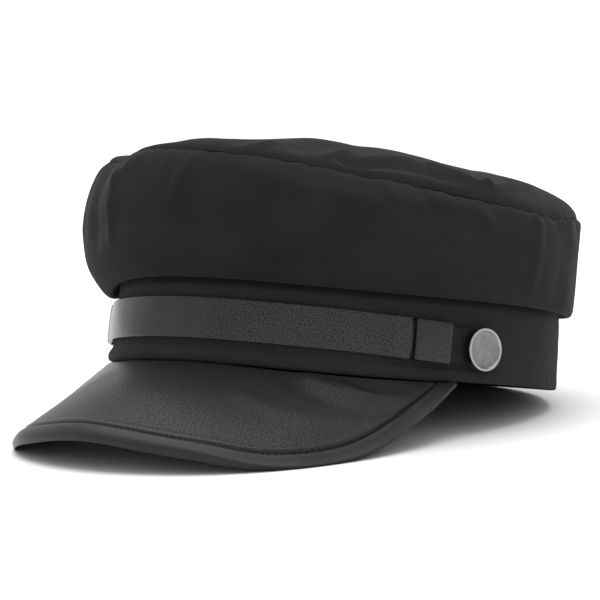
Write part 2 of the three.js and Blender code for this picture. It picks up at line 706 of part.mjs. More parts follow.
// The space under the surface the cap rests on
function surfaceBlock() {
  const block = new THREE.BoxGeometry(SURFACE_BLOCK, SURFACE_BLOCK, SURFACE_BLOCK);
  block.translate(0, 0, -SURFACE_BLOCK / 2);
  return block;
}

function pressedFlat(geometry, block) {
  return fromSolid(toSolid(geometry).subtract(toSolid(block)));
}

// The scene graph

const LEFT = 1;
const RIGHT = -1;

function named(name, geometry, finish) {
  const mesh = new THREE.Mesh(geometry, new THREE.MeshStandardMaterial(finish));
  mesh.name = name;
  return mesh;
}

const upright = new THREE.Group();
upright.rotation.x = -PITCH;
upright.position.z = SEAT_HEIGHT;
upright.updateMatrix();
const pitchedBlock = surfaceBlock().applyMatrix4(upright.matrix.clone().invert());
const band = pressedFlat(ringSolid(bandLoop, BAND_SEGMENTS), pitchedBlock);
upright.add(named('band', drilled(band, [LEFT, RIGHT]), BAND_CLOTH_FINISH));
upright.add(named('crown_side', ringSolid(crownSideLoop, CROWN_SEGMENTS), CROWN_CLOTH_FINISH));
upright.add(named('crown_top', crownTopGeometry(), CROWN_CLOTH_FINISH));
const strap = arcSolid(strapLoopAt(strapSection), -STRAP_END, STRAP_END, STRAP_SEGMENTS);
upright.add(named('strap', strap, STRAP_LEATHER_FINISH));

for (const [side, label] of [[LEFT, 'left'], [RIGHT, 'right']]) {
  const ends = (from, to) => (side === LEFT ? [from, to] : [-to, -from]);
  const tab = arcSolid(strapLoopAt(tabSection), ...ends(TAB_FROM, TAB_END_ANGLE), TAB_SEGMENTS);
  upright.add(named(`tab_${label}`, drilled(tab, [side]), STRAP_LEATHER_FINISH));
  const keeper = sleeveSolid(
    strapLoopAt(keeperOuterSection),
    strapLoopAt(keeperInnerSection),
    ...ends(KEEPER_FROM, KEEPER_TO),
    KEEPER_SEGMENTS,
  );
  upright.add(named(`keeper_${label}`, keeper, STRAP_LEATHER_FINISH));
  const button = named(`button_${label}`, buttonGeometry(), BUTTON_METAL_FINISH);
  const { point, turn } = buttonPlace(side);
  button.position.copy(point);
  button.quaternion.copy(turn);
  upright.add(button);
}

const cap = new THREE.Group();
cap.add(upright);
cap.add(named('peak', pressedFlat(peakGeometry(), surfaceBlock()), PEAK_LEATHER_FINISH));

const outerBox = new THREE.Box3().setFromObject(cap, true);
const middle = outerBox.getCenter(new THREE.Vector3());
cap.position.set(-middle.x, -middle.y, 0);

export default cap;
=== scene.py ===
# %% [markdown]
# # Dressing a cadet cap
# A soft cap is hard to model by hand because every piece follows the same head: the cloth band goes
# round it, the crown grows out of the band, and the leather peak and strap bend along it.
# So this lesson first loads the measured cap, which is plain and exact, and then builds each visible
# piece as a fine mesh from a few functions of the angle round the head. Every piece stays in the
# space of the plain solid that it stands for, so nothing has to be fitted afterwards.

# %% Load the measured cap
import math

import bpy
import numpy as np
from mathutils import Matrix, Vector


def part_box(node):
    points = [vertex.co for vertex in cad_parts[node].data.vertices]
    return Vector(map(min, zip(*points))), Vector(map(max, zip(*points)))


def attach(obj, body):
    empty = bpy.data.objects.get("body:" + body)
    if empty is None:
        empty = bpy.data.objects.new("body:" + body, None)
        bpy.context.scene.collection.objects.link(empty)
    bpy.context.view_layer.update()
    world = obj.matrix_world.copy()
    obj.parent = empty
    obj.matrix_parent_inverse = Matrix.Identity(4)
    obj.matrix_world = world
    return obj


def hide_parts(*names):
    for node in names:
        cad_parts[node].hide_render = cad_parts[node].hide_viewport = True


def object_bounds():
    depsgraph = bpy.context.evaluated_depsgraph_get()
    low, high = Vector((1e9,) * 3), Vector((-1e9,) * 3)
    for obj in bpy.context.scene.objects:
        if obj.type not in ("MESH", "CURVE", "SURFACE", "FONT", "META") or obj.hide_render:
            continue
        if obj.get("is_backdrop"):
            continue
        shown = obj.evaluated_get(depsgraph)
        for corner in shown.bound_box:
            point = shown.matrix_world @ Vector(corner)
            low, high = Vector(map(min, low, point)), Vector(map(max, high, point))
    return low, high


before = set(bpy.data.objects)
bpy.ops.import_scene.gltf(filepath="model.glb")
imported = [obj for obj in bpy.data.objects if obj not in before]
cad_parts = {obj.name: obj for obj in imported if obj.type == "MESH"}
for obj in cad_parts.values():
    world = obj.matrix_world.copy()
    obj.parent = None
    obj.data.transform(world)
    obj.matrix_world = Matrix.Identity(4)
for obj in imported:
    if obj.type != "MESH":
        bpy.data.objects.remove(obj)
cad_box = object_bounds()
size_of_cap = [round(1000 * (high - low), 1) for low, high in zip(*cad_box)]
print("nodes:", sorted(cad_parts))
print("the plain cap measures, in mm:", size_of_cap)

# %% [markdown]
# ## Where the cap stands
# The plain solids are in metres, with the peak towards -Y and the wearer's left towards +X. Cloth is
# easier to think about in millimetres and with the band upright, so everything below is worked out in
# the cap's own frame and moved at the end. The cap rests on its peak and on the rear of its band,
# which pitches it, front up, by about twelve degrees. Its place on the floor is read back from two
# things that are known exactly: the buttons are a mirrored pair, and the peak's rim is its foremost
# point.

# %% From the cap's own frame to the room
MM = 0.001
PITCH = math.radians(12.05)
BAND_HALF_LENGTH = 100
SEAT_HEIGHT = 9.63
PEAK_REACH = 151.5

left_button_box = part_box("button_left")
right_button_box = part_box("button_right")
peak_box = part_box("peak")
cap_middle_x = (left_button_box[0][0] + right_button_box[1][0]) / 2 / MM
cap_middle_y = peak_box[0][1] / MM + PEAK_REACH
print("the head's middle is at", round(cap_middle_x, 2), round(cap_middle_y, 2), "mm")


def in_room(points):
    """Points of the cap standing upright on the floor, in mm, to metres in the room."""
    moved = np.array(points, dtype=float)
    moved[..., 0] += cap_middle_x
    moved[..., 1] += cap_middle_y
    return moved * MM


def pitched(points):
    """Points of the upright band, in mm, turned as the cap lies on the floor."""
    turned = np.array(points, dtype=float)
    y, z = np.array(turned[..., 1]), np.array(turned[..., 2])
    turned[..., 1] = y * math.cos(PITCH) + z * math.sin(PITCH)
    turned[..., 2] = z * math.cos(PITCH) - y * math.sin(PITCH)
    turned[..., 2] += SEAT_HEIGHT
    return turned


# %% [markdown]
# ## The head's oval
# Every sewn piece goes round the same oval. It is a little narrower over the forehead and slightly
# flattened at its corners. A place on the cap is then three plain numbers: an angle from the front,
# with the wearer's left at +90 degrees, a distance outward from the oval, and a height.

# %% The oval and a place beside it
BAND_HALF_WIDTH = 88.9
FRONT_NARROWING = 0.05
CORNER_FLATTENING = 0.009
BAND_TAPER = 0.0002
BAND_HEIGHT = 32


def oval(angle, height):
    size = (1 - BAND_TAPER * height) * (1 - CORNER_FLATTENING * (1 - np.cos(4 * angle)))
    half_width = BAND_HALF_WIDTH * (1 - FRONT_NARROWING * np.cos(angle))
    across = half_width * np.sin(angle) * size
    return np.stack([across, -BAND_HALF_LENGTH * np.cos(angle) * size], -1)


def unit(vectors):
    return vectors / np.linalg.norm(vectors, axis=-1, keepdims=True)


def facing(angle):
    """The direction straight out from the oval."""
    small = 1e-3
    along = unit(oval(angle + small, 0) - oval(angle - small, 0))
    return np.stack([along[..., 1], -along[..., 0]], -1)


def place_round(angle, outward, height, oval_height=None):
    angle, outward, height = np.broadcast_arrays(angle, outward, height)
    if oval_height is None:
        oval_height = np.minimum(height, BAND_HEIGHT)
    flat = oval(angle, oval_height) + facing(angle) * outward[..., None]
    return np.concatenate([flat, height[..., None]], -1)


def lengths_along(line, closing=None):
    """How far along a line of points each one lies from the first.

    closing, for a loop, is the step from its last point back to the first.
    """
    steps = np.linalg.norm(np.diff(line, axis=0), axis=-1)
    lengths = np.concatenate([[0], np.cumsum(steps)])
    return lengths if closing is None else np.append(lengths, lengths[-1] + closing)


def length_round(angles):
    """How far along the oval each angle lies from the first one, in mm."""
    return lengths_along(oval(angles, 0))


full_turn = np.linspace(-math.pi, math.pi, 721)
head_size = length_round(full_turn)[-1]
print("the band measures", round(head_size), "mm round its outside")

# %% [markdown]
# ## From rows of points to a piece
# Each piece is a grid of points: columns go round the head, rows go across the cloth or leather. The
# helper joins neighbours with four-sided faces, turns them so that they face outward, and lays the
# cloth's own coordinates on them in millimetres. Weave and grain use those coordinates, so that they
# follow the piece as it bends, which they wouldn't if they came from the room.

# %% Faces between the points


def faces_of_grid(columns, rows, round_columns, round_rows):
    column = np.arange(columns if round_columns else columns - 1)
    row = np.arange(rows if round_rows else rows - 1)
    column, row = (values.ravel() for values in np.meshgrid(column, row, indexing="ij"))
    column_after, row_after = (column + 1) % columns, (row + 1) % rows
    quads = [column * rows + row, column_after * rows + row]
    quads += [column_after * rows + row_after, column * rows + row_after]
    corners = [(column, row), (column + 1, row), (column + 1, row + 1), (column, row + 1)]
    return np.stack(quads, -1), corners


def enclosed_volume(points, faces):
    a, b, c, d = (points[faces[:, corner]] for corner in range(4))
    first = np.einsum("ij,ij->i", a, np.cross(b, c)).sum()
    return (first + np.einsum("ij,ij->i", a, np.cross(c, d)).sum()) / 6


print("a flat grid of 4 by 3 points has", len(faces_of_grid(4, 3, False, False)[0]), "faces")
print("closed both ways it has", len(faces_of_grid(4, 3, True, True)[0]))

# %% Making a piece from its grid


def placed(name, data):
    """A new object of the scene, with this mesh, light or camera in it."""
    made = bpy.data.objects.new(name, data)
    bpy.context.scene.collection.objects.link(made)
    return made


def count_triangles(faces):
    return sum(len(face) - 2 for face in faces)


def smooth_object(name, points, faces, map_points=None):
    mesh = bpy.data.meshes.new(name)
    mesh.from_pydata(points.tolist(), [], [list(face) for face in faces])
    if map_points is not None:
        layer = mesh.uv_layers.new(name="cloth")
        layer.data.foreach_set("uv", np.asarray(map_points, dtype=np.float32).ravel())
    mesh.validate()
    mesh.shade_smooth()
    return placed(name, mesh)


def grid_piece(name, grid, along, across, round_columns=True, round_rows=True):
    """A closed piece from a grid of points in metres. Its open ends are filled with flat faces."""
    columns, rows = grid.shape[:2]
    faces, corners = faces_of_grid(columns, rows, round_columns, round_rows)
    along = np.asarray(along, dtype=float)
    across = np.asarray(across, dtype=float)
    map_points = np.stack([np.stack([along[c], across[r]], -1) for c, r in corners], 1)
    points = grid.reshape(-1, 3)
    inside_out = enclosed_volume(points, faces) < 0
    if inside_out:
        faces, map_points = faces[:, ::-1], map_points[:, ::-1]
    faces = faces.tolist()
    map_points = map_points.reshape(-1, 2)
    if not round_columns:
        for column, turned in ((0, inside_out), (columns - 1, not inside_out)):
            cap = [column * rows + row for row in range(rows)]
            cap_map = [(along[column], across[row]) for row in range(rows)]
            faces.append(cap[::-1] if not turned else cap)
            cap_map = cap_map[::-1] if not turned else cap_map
            map_points = np.concatenate([map_points, cap_map])
    made = smooth_object(name, points, faces, map_points)
    print(name, "has", count_triangles(faces), "triangles")
    return made


# %% [markdown]
# ## Soft lines and soft unevenness
# Sewn cloth bends in smooth curves between a few places that hold it. A centripetal Catmull-Rom curve
# does the same between a few given points without overshooting. Real cloth is also never perfectly
# even, so a seeded sum of long, shallow waves moves it by a few tenths of a millimetre. It gives the
# same waves in each run.

# %% A soft line through a few rows


def soft_line(rows, stops):
    """rows is (row, column, 2). Returns the points at each stop, and the direction there."""
    rows = np.asarray(rows, dtype=float)
    before = 2 * rows[:1] - rows[1:2]
    after = 2 * rows[-1:] - rows[-2:-1]
    knots = np.concatenate([before, rows, after])

    def at(stop):
        first = min(int(stop), len(rows) - 2)
        share = stop - first
        p0, p1, p2, p3 = knots[first : first + 4]
        spans = (p1 - p0, p2 - p1, p3 - p2)
        gaps = [np.linalg.norm(span, axis=-1, keepdims=True) ** 0.5 for span in spans]
        gaps = [np.maximum(gap, 1e-4) for gap in gaps]
        pull_1 = (p1 - p0) / gaps[0] - (p2 - p0) / (gaps[0] + gaps[1]) + (p2 - p1) / gaps[1]
        pull_2 = (p2 - p1) / gaps[1] - (p3 - p1) / (gaps[1] + gaps[2]) + (p3 - p2) / gaps[2]
        pull_1, pull_2 = pull_1 * gaps[1], pull_2 * gaps[1]
        c2 = -3 * p1 + 3 * p2 - 2 * pull_1 - pull_2
        c3 = 2 * p1 - 2 * p2 + pull_1 + pull_2
        return p1 + pull_1 * share + c2 * share**2 + c3 * share**3

    points = np.stack([at(stop) for stop in stops])
    ahead = np.stack([at(min(stop + 0.01, len(rows) - 1)) for stop in stops])
    behind = np.stack([at(max(stop - 0.01, 0)) for stop in stops])
    return points, unit(ahead - behind)


bowed, _ = soft_line([[(0, 0)], [(10, 0)], [(10, 10)]], [0.5])
print("round a corner of 10 mm the soft line bows out to", bowed[0, 0].round(2))

# %% Seeded waves


def waves(points, size, seed, count=14):
    """A smooth, even mix of waves about size mm long, mostly between -1 and 1."""
    draw = np.random.default_rng(seed)
    total = np.zeros(points.shape[:-1])
    for _ in range(count):
        direction = draw.normal(size=3)
        direction /= np.linalg.norm(direction)
        length = size * draw.uniform(0.7, 1.7)
        total += np.sin(points @ direction * (2 * math.pi / length) + draw.uniform(0, 2 * math.pi))
    return total / math.sqrt(count)


def smooth_step(start, end, value):
    share = np.clip((value - start) / (end - start), 0, 1)
    return share * share * (3 - 2 * share)


def unevenness(points, table):
    """The sum of a few waves, each given by its length and height in mm and its seed."""
    return sum(waves(points, size, seed) * height for size, height, seed in table)


def wrapped(angle):
    return np.arctan2(np.sin(angle), np.cos(angle))


sample = waves(place_round(full_turn, 0.0, BAND_HEIGHT / 2), 34, seed=3)
print("waves round the band run from", round(sample.min(), 2), "to", round(sample.max(), 2))

# %% [markdown]
# ## The band
# The band is an upright strip of black cloth with a rolled hem. Its lower edge isn't level: it rises
# at the sides and the front. A box bent round a curve would give straight, hard edges, so the section
# is drawn as a soft line instead: up the outside from the hem, over the top, and down the inside.

# %% The band's lower edge
EDGE_MEAN = 6.1
EDGE_FRONT = -4.4
EDGE_ENDS = 0.65
EDGE_CORNERS = 0.35
REAR_SAG = 0.7
REAR_SAG_ANGLE = math.radians(28)


def lower_edge(angle):
    from_rear = math.pi - np.abs(angle)
    sag = REAR_SAG * np.exp(-((from_rear / REAR_SAG_ANGLE) ** 2))
    edge = EDGE_MEAN + EDGE_FRONT * np.cos(angle) + EDGE_ENDS * np.cos(2 * angle)
    return edge + EDGE_CORNERS * np.cos(4 * angle) - sag


edge_heights = [round(float(lower_edge(angle)), 2) for angle in (0.0, math.pi / 2)]
print("the band's lower edge at the front and at the side is, in mm:", edge_heights)

# %% The band's section
BAND_FACE = -0.9
BAND_INSIDE = -3.5
BAND_MIDDLE = -2.2
# distance out from the oval and height above the lower edge, in mm: under the hem, up the outside, then
# over the top and down the inside
UNDER_HEM = [(BAND_INSIDE + 1.2, 0.35), (-1.2, 0)]
BAND_OUTSIDE = [
    (0.1, 0.5), (0.5, 2.2), (0.2, 3.8), (-0.75, 5.3), (-0.95, 7), (BAND_FACE, 12), (BAND_FACE, 20),
    (BAND_FACE, 28), (-1.1, 31.6),
]
# the band's rear half lies a little further out, and its hem is pressed flat instead of rolled
REAR_OUTSIDE = [
    (-0.3, 0.4), (-0.1, 2.2), (-0.1, 3.8), (-0.1, 5.3), (-0.1, 7), (-0.1, 12), (-0.1, 20), (-0.5, 28),
    (-1.0, 31.6),
]
OVER_TOP = [(BAND_MIDDLE, BAND_HEIGHT), (-3.3, 31.6)]
DOWN_INSIDE = [(BAND_INSIDE, 28), (BAND_INSIDE, 14), (BAND_INSIDE, 5), (BAND_INSIDE + 0.3, 1.2)]


def closed_section(outside):
    rows = UNDER_HEM + outside + OVER_TOP + DOWN_INSIDE + UNDER_HEM[:1]
    return np.array(rows, dtype=float)[:, None, :]


print("the band's section closes through", len(closed_section(BAND_OUTSIDE)) - 1, "points")

# %% The band as a piece
FLOOR_CLEARANCE = 0.02
BAND_COLUMNS = 480
BAND_ROWS = 101
REAR_FROM, REAR_TO = math.radians(80), math.radians(98)
PEAK_FROM, PEAK_TO = math.radians(63), math.radians(67)
HEM_LEVEL = 2.2
HEM_REACH = 2.4
HEM_UNEVEN = 0.12
HEM_WAVE = 7
# over the peak the hem comes down on the leather
HEM_ON_PEAK = 0.3
HEM_ON_PEAK_REACH = 2
BAND_WAVES = [(34, 0.25, 3), (11, 0.07, 4)]


def band_piece():
    angles = np.linspace(-math.pi, math.pi, BAND_COLUMNS, endpoint=False)
    rear = smooth_step(REAR_FROM, REAR_TO, np.abs(angles))[None, :, None]
    rows = closed_section(BAND_OUTSIDE) * (1 - rear) + closed_section(REAR_OUTSIDE) * rear
    section, _ = soft_line(rows, np.linspace(0, len(rows) - 1, BAND_ROWS + 1)[:-1])
    outward, level = section[..., 0], section[..., 1]
    height = level + lower_edge(angles)[None, :]
    round_angles = np.broadcast_to(angles, height.shape)
    points = place_round(round_angles, outward, height)
    hem = np.exp(-(((level - HEM_LEVEL) / HEM_REACH) ** 2))
    uneven = unevenness(points, BAND_WAVES) + hem * waves(points, HEM_WAVE, seed=5) * HEM_UNEVEN
    outward = outward + uneven * (outward > BAND_MIDDLE)
    over_peak = 1 - smooth_step(PEAK_FROM, PEAK_TO, np.abs(angles))
    height = height - HEM_ON_PEAK * over_peak[None, :] * np.exp(-np.maximum(level, 0) / HEM_ON_PEAK_REACH)
    points = pitched(place_round(round_angles, outward, height))
    points[..., 2] = np.maximum(points[..., 2], FLOOR_CLEARANCE)
    round_lengths = length_round(np.linspace(-math.pi, math.pi, BAND_COLUMNS + 1))
    across = lengths_along(section[:, 0], closing=0.8)
    grid = in_room(points).transpose(1, 0, 2)
    return grid_piece("band_cloth", grid, round_lengths, across)


band = band_piece()
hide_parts("band")
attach(band, "root")

# %% [markdown]
# ## The crown's seam and its folds
# The crown is two panels of the same cloth, a side wall and an oval top, sewn together with one
# plain seam. The seam is not level either: it follows the head and dips where the cloth is
# gathered. The folds are short straight valleys and ridges that fade out to both sides, so a table
# with the two ends, the width and the lift of each is enough to make them.

# %% Seam heights and dips
SEAM_MEAN = 78.8
SEAM_FRONT = -1.66
SEAM_LEFT = -3.83
SEAM_ENDS = 2.43
SEAM_SLANT = -0.27
SEAM_FRONT_THREE = 0.37
# angle in degrees, half width in degrees, depth in mm: the cloth stands higher where it is negative
SEAM_DIPS = [
    (-24, 7.5, 3), (40, 5, 1.2), (90, 8, 1), (112, 12, -2.4), (148, 9, 1.6), (-85, 9, 1.6),
    (-128, 8, 1.2),
]
# the places where the wall's lip hangs lower, in the same columns
LIP_DROOPS = [(-55, 23, 5), (112, 18, 0.6)]
SEAM_OUT = 6.2
SEAM_OUT_FRONT = 2.95
SEAM_OUT_LEFT = -1
WOBBLE_WAVES = 12
WOBBLE_TURNS = (28, 90)
WOBBLE_HEIGHTS = (0.02, 0.13)


def sum_of_dips(dips, angle):
    total = 0
    for middle, half_width, depth in dips:
        away = wrapped(angle - math.radians(middle)) / math.radians(half_width)
        total = total + depth * np.exp(-away * away)
    return total


def seam_wobble(angle):
    """No hand-fed seam is quite straight: a few tenths of a millimetre up and down."""
    draw = np.random.default_rng(7)
    total = 0
    for _ in range(WOBBLE_WAVES):
        turns = draw.integers(*WOBBLE_TURNS)
        wave = np.sin(turns * angle + draw.uniform(0, 2 * math.pi))
        total = total + wave * draw.uniform(*WOBBLE_HEIGHTS)
    return total


def even_seam_height(angle):
    height = SEAM_MEAN + SEAM_FRONT * np.cos(angle) + SEAM_LEFT * np.sin(angle)
    height = height + SEAM_ENDS * np.cos(2 * angle) + SEAM_SLANT * np.sin(2 * angle)
    return height + SEAM_FRONT_THREE * np.cos(3 * angle) - sum_of_dips(SEAM_DIPS, angle)


def seam_height(angle):
    return even_seam_height(angle) + seam_wobble(angle)


def seam_outward(angle):
    return SEAM_OUT + SEAM_OUT_FRONT * np.cos(angle) + SEAM_OUT_LEFT * np.sin(angle)


for name_of_place, angle in (("front", 0.0), ("left side", math.pi / 2), ("rear", math.pi)):
    print("the seam's height at the", name_of_place, "is", round(float(seam_height(angle)), 1), "mm")

# %% Folds of the side wall
# upper angle and share of the height, lower angle and share, half width in mm, lift in mm
WALL_FOLDS = [
    (-12, 0.93, -19, 0.82, 3, 0.7), (-19, 0.82, -19.5, 0.3, 3.4, 0.75), (-19.5, 0.3, -23, 0.12, 4, 0.5),
    (-25, 0.93, -30, 0.2, 6, -1.1), (-39, 0.92, -44, 0.5, 6, 0.8),
    (4, 0.97, 1.5, 0.62, 2.6, 1.1), (9, 0.95, 7, 0.6, 5, -0.6), (18, 0.85, 31, 0.78, 4.5, 1.3),
    (36, 0.8, 44, 0.76, 4, 1.6), (47.5, 0.85, 53, 0.82, 3.6, 1.5), (57, 0.88, 63, 0.88, 3.4, 1.3),
    (67, 0.87, 70, 0.8, 3.2, 1.2), (86, 0.98, 84.8, 0.06, 3.2, 0.8), (98, 0.96, 96, 0.2, 8, -0.9),
    (107, 0.98, 112, 0.75, 5, -0.8), (142, 0.97, 150, 0.25, 9, -1.4),
    (175, 0.9, 185, 0.3, 12, 1), (-128, 0.97, -120, 0.3, 9, -1.4), (-85, 0.97, -92, 0.3, 9, -1.3),
    (-60, 0.9, -66, 0.3, 10, 1),
]


def lift_by_fold(x, y, start, end, half_width, lift):
    """How much one fold lifts the places x, y: full along its line, fading to either side."""
    line_x, line_y = end[0] - start[0], end[1] - start[1]
    share = ((x - start[0]) * line_x + (y - start[1]) * line_y) / (line_x**2 + line_y**2)
    share = np.clip(share, 0, 1)
    away_x = x - start[0] - share * line_x
    away_y = y - start[1] - share * line_y
    return lift * np.exp(-(away_x**2 + away_y**2) / half_width**2)


def wall_fold_lift(angle, share, tall):
    total = 0
    for upper, upper_share, lower, lower_share, half_width, lift in WALL_FOLDS:
        away = wrapped(math.radians((upper + lower) / 2) - angle)
        half = math.radians((upper - lower) / 2)
        start = ((away + half) * BAND_HALF_LENGTH, upper_share * tall)
        end = ((away - half) * BAND_HALF_LENGTH, lower_share * tall)
        total = total + lift_by_fold(0, share * tall, start, end, half_width, lift)
    return total


print("the side wall has", len(WALL_FOLDS), "folds")

# %% [markdown]
# ## The crown's side wall
# The wall starts on the band's top edge, turns down over it as a soft lip, swells outward and leans
# back in to the seam. It is one strip of cloth two millimetres thick, so the same soft line gives its
# outside and its inside. Along the seam the cloth is pinched by the stitches, which leaves small
# puckers just under it. They are part of the mesh, because they catch the light.

# %% The wall's section
CLOTH = 2
SEAT_GAP = 0.3
LIP_HEIGHT = 30.5
# how much of the way down to the lip's underside the cloth has gone where it leaves the band
LIP_TUCK = 0.7
# the wall's reach beyond the oval where it is widest
WALL_OUT = 9.9
WALL_OUT_FRONT = 5.9
WALL_OUT_LEFT = -2
LIP_CORNER = 24
# how far the seam's own row stays inside the panel's edges, as a share of half the cloth
SEAM_INSIDE = 0.7
WALL_COLUMNS = 720
WALL_STOPS = np.concatenate([np.linspace(0, 3, 22)[:-1], np.linspace(3, 9, 60)])


def wall_rows(angle):
    """The middle of the cloth, from on the band to the seam: (distance out, height) in each row."""
    half = CLOTH / 2
    band_top = lower_edge(angle) + BAND_HEIGHT
    on_band = band_top + SEAT_GAP + half
    lip = lower_edge(angle) + LIP_HEIGHT - sum_of_dips(LIP_DROOPS, angle)
    tuck = band_top + LIP_TUCK * (lip + CLOTH - band_top)
    widest = WALL_OUT + WALL_OUT_FRONT * np.cos(angle) + WALL_OUT_LEFT * np.sin(angle) - half
    corner = widest**2 / LIP_CORNER
    seam = seam_outward(angle) - SEAM_INSIDE * half
    top = seam_height(angle) - SEAM_INSIDE * half
    tall = top - lip
    lean = widest - seam
    same = np.ones_like(angle)
    rows = [
        (BAND_INSIDE + 1.1 * same, on_band),
        (BAND_FACE + 0.7 * same, on_band),
        (BAND_FACE + 2.5 * same, tuck),
        (np.minimum(2.9, 0.5 * widest + 0.8), lip + half),
        (0.72 * widest + 0.6, lip + half + corner),
        (0.94 * widest, lip + half + 2.1 * corner),
        (widest, lip + 0.6 * tall),
        (widest - 0.18 * lean, lip + 0.8 * tall),
        (widest - 0.52 * lean, lip + 0.925 * tall),
        (seam, top),
    ]
    return np.array([np.stack(row, -1) for row in rows]), lip, tall


wall_heights = wall_rows(full_turn)[2]
print("the wall is", round(wall_heights.min()), "to", round(wall_heights.max()), "mm high")

# %% Puckers under the seam
PUCKER_REACH = 3.6
GATHER_STEP = 7.3
GATHER_SHIFT = 2.6
GATHER_LEAST = 0.05
GATHER_WIDTHS = (1.3, 2.6)
STITCH_PITCH = 1.6
DIMPLE_DEPTH = 0.42
DIMPLE_LEAST = 0.25
DIMPLE_REACH = 1.2


def seam_pinch(along, from_seam, seed, deepest=0.34):
    """Small gathers that the stitches pull into the cloth, strongest at the seam."""
    draw = np.random.default_rng(seed)
    count = int(head_size / GATHER_STEP)
    steps = np.arange(count) * GATHER_STEP + draw.uniform(-GATHER_SHIFT, GATHER_SHIFT, size=count)
    depths = draw.uniform(GATHER_LEAST, deepest, size=count)
    widths = draw.uniform(*GATHER_WIDTHS, size=count)
    total = np.zeros(np.broadcast(along, from_seam).shape)
    for step, depth, width in zip(steps, depths, widths):
        total -= depth * np.exp(-(((along - step) / width) ** 2))
    return total * np.exp(-((from_seam / PUCKER_REACH) ** 2))


def stitch_dimples(along, from_seam, seed):
    """Each stitch's own small dent beside the seam. No two are quite as deep."""
    draw = np.random.default_rng(seed)
    depths = draw.uniform(DIMPLE_LEAST, 1, size=int(head_size / STITCH_PITCH) + 2)
    number = np.floor(along / STITCH_PITCH).astype(int) % len(depths)
    beat = 0.5 - 0.5 * np.cos(2 * math.pi * along / STITCH_PITCH)
    return -DIMPLE_DEPTH * depths[number] * beat * np.exp(-((from_seam / DIMPLE_REACH) ** 2))


print("the seam has", int(head_size / GATHER_STEP), "gathers")

# %% The wall as a piece
# the rows between which the cloth comes free of the band, as places along the section
FREE_FROM, FREE_TO = 3.5, 5
SEAM_HOLDS = 0.6
WALL_WAVES = [(46, 0.45, 21), (17, 0.16, 22)]
# the seam's turned-in edges press out a low welt, from the sides to the rear
WELT = 0.3
WELT_FROM, WELT_TO = math.radians(85), math.radians(100)
WELT_BELOW = 2.2
WELT_REACH = 1.3
SEAM_GROOVE = 0.75
SEAM_GROOVE_REACH = 0.65


def wall_piece():
    angles = np.linspace(-math.pi, math.pi, WALL_COLUMNS, endpoint=False)
    along_head = length_round(np.linspace(-math.pi, math.pi, WALL_COLUMNS + 1))
    rows, lip, tall = wall_rows(angles)
    middle, direction = soft_line(rows, WALL_STOPS)
    across = np.stack([direction[..., 1], -direction[..., 0]], -1)
    outside = middle + across * CLOTH / 2
    inside = middle - across * CLOTH / 2
    free = smooth_step(FREE_FROM, FREE_TO, WALL_STOPS)[:, None]
    held = 1 - SEAM_HOLDS * smooth_step(len(rows) - 2, len(rows) - 1, WALL_STOPS)[:, None]
    share = (middle[..., 1] - lip) / tall
    lift = free * held * wall_fold_lift(angles, share, tall)
    base = place_round(np.broadcast_to(angles, share.shape), middle[..., 0], middle[..., 1], BAND_HEIGHT)
    uneven = free * unevenness(base, WALL_WAVES)
    below = (1 - share) * tall
    pinch = free * seam_pinch(along_head[:-1][None, :], below, seed=11)
    pinch = pinch + free * stitch_dimples(along_head[:-1][None, :], below, seed=12)
    pressed = WELT * smooth_step(WELT_FROM, WELT_TO, np.abs(angles))
    welt = pressed * np.exp(-(((below - WELT_BELOW) / WELT_REACH) ** 2))
    relief = welt - SEAM_GROOVE * np.exp(-((below / SEAM_GROOVE_REACH) ** 2))
    outside_out = outside[..., 0] + lift + uneven + pinch + relief
    inside_out = inside[..., 0] + lift + uneven
    inner_rows = np.arange(len(WALL_STOPS))[::-1][::3]
    outward = np.concatenate([outside_out, inside_out[inner_rows]])
    height = np.concatenate([outside[..., 1], inside[inner_rows, :, 1]])
    points = place_round(np.broadcast_to(angles, outward.shape), outward, height, BAND_HEIGHT)
    down = lengths_along(middle[:, 0])
    down = np.concatenate([down, down[inner_rows], [0]])
    grid = in_room(pitched(points)).transpose(1, 0, 2)
    return grid_piece("crown_side_cloth", grid, along_head, down)


crown_side = wall_piece()
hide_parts("crown_side")
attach(crown_side, "root")

# %% [markdown]
# ## The domed top
# The top panel is an oval of the same cloth that domes up a little and sags between soft radial
# folds. It is worked out from its middle: a share of 0 is the middle and 1 is the seam. A subdivided
# plate with a sculpt brush would do too, but the folds wouldn't stay where the seam's gathers are.

# %% Folds of the top
# outer angle and inset from the seam, inner angle and inset, half width, lift, all in mm
TOP_FOLDS = [
    (-16, 4, -7, 9, 6, -1.0), (12, 3, 13.5, 12, 3.4, -1.1), (17, 1, 19.5, 8, 2.6, 1.1),
    (27, 8, 31, 14, 6, -0.5), (31, 27, 45, 30, 10, 0.9), (33.5, 2.5, 38, 13, 2.6, 1.9),
    (36.5, 2.5, 42, 5, 3.2, -2.3), (43, 8, 54, 12, 4, 1.2), (45, 4, 57, 5, 3.4, -1.4),
    (59, 2, 68, 2, 2.6, -1.6), (60, 11, 68, 5.5, 3.2, 1.4), (67, 1.5, 73, 4, 2.4, 1.8),
    (73, 4, 92, 11, 2.8, 1.8), (76, 10, 94, 20, 5, -1.5), (100, 34, 108, 30, 12, -0.9),
    (150, 6, 146, 44, 9, -1.8), (-160, 8, -166, 42, 9, 1.6), (-128, 6, -122, 40, 9, -1.8),
    (-84, 6, -88, 42, 9, -1.6),
]
DOME_RISE = 13
# the dome keeps its height towards the seam and then turns down
DOME_FULLNESS = 2.98
DOME_SHOULDER = 0.6
DOME_LEAN_LEFT = 0.58
DOME_LEAN_REAR = 0.06
SEAM_FOLLOWED = 1.5
# the seam's small wobble dies out within a millimetre, so that it leaves no ridges on the top
WOBBLE_FADE = 150
# the first ring's share: a small flat face closes the middle
TOP_MIDDLE = 0.004
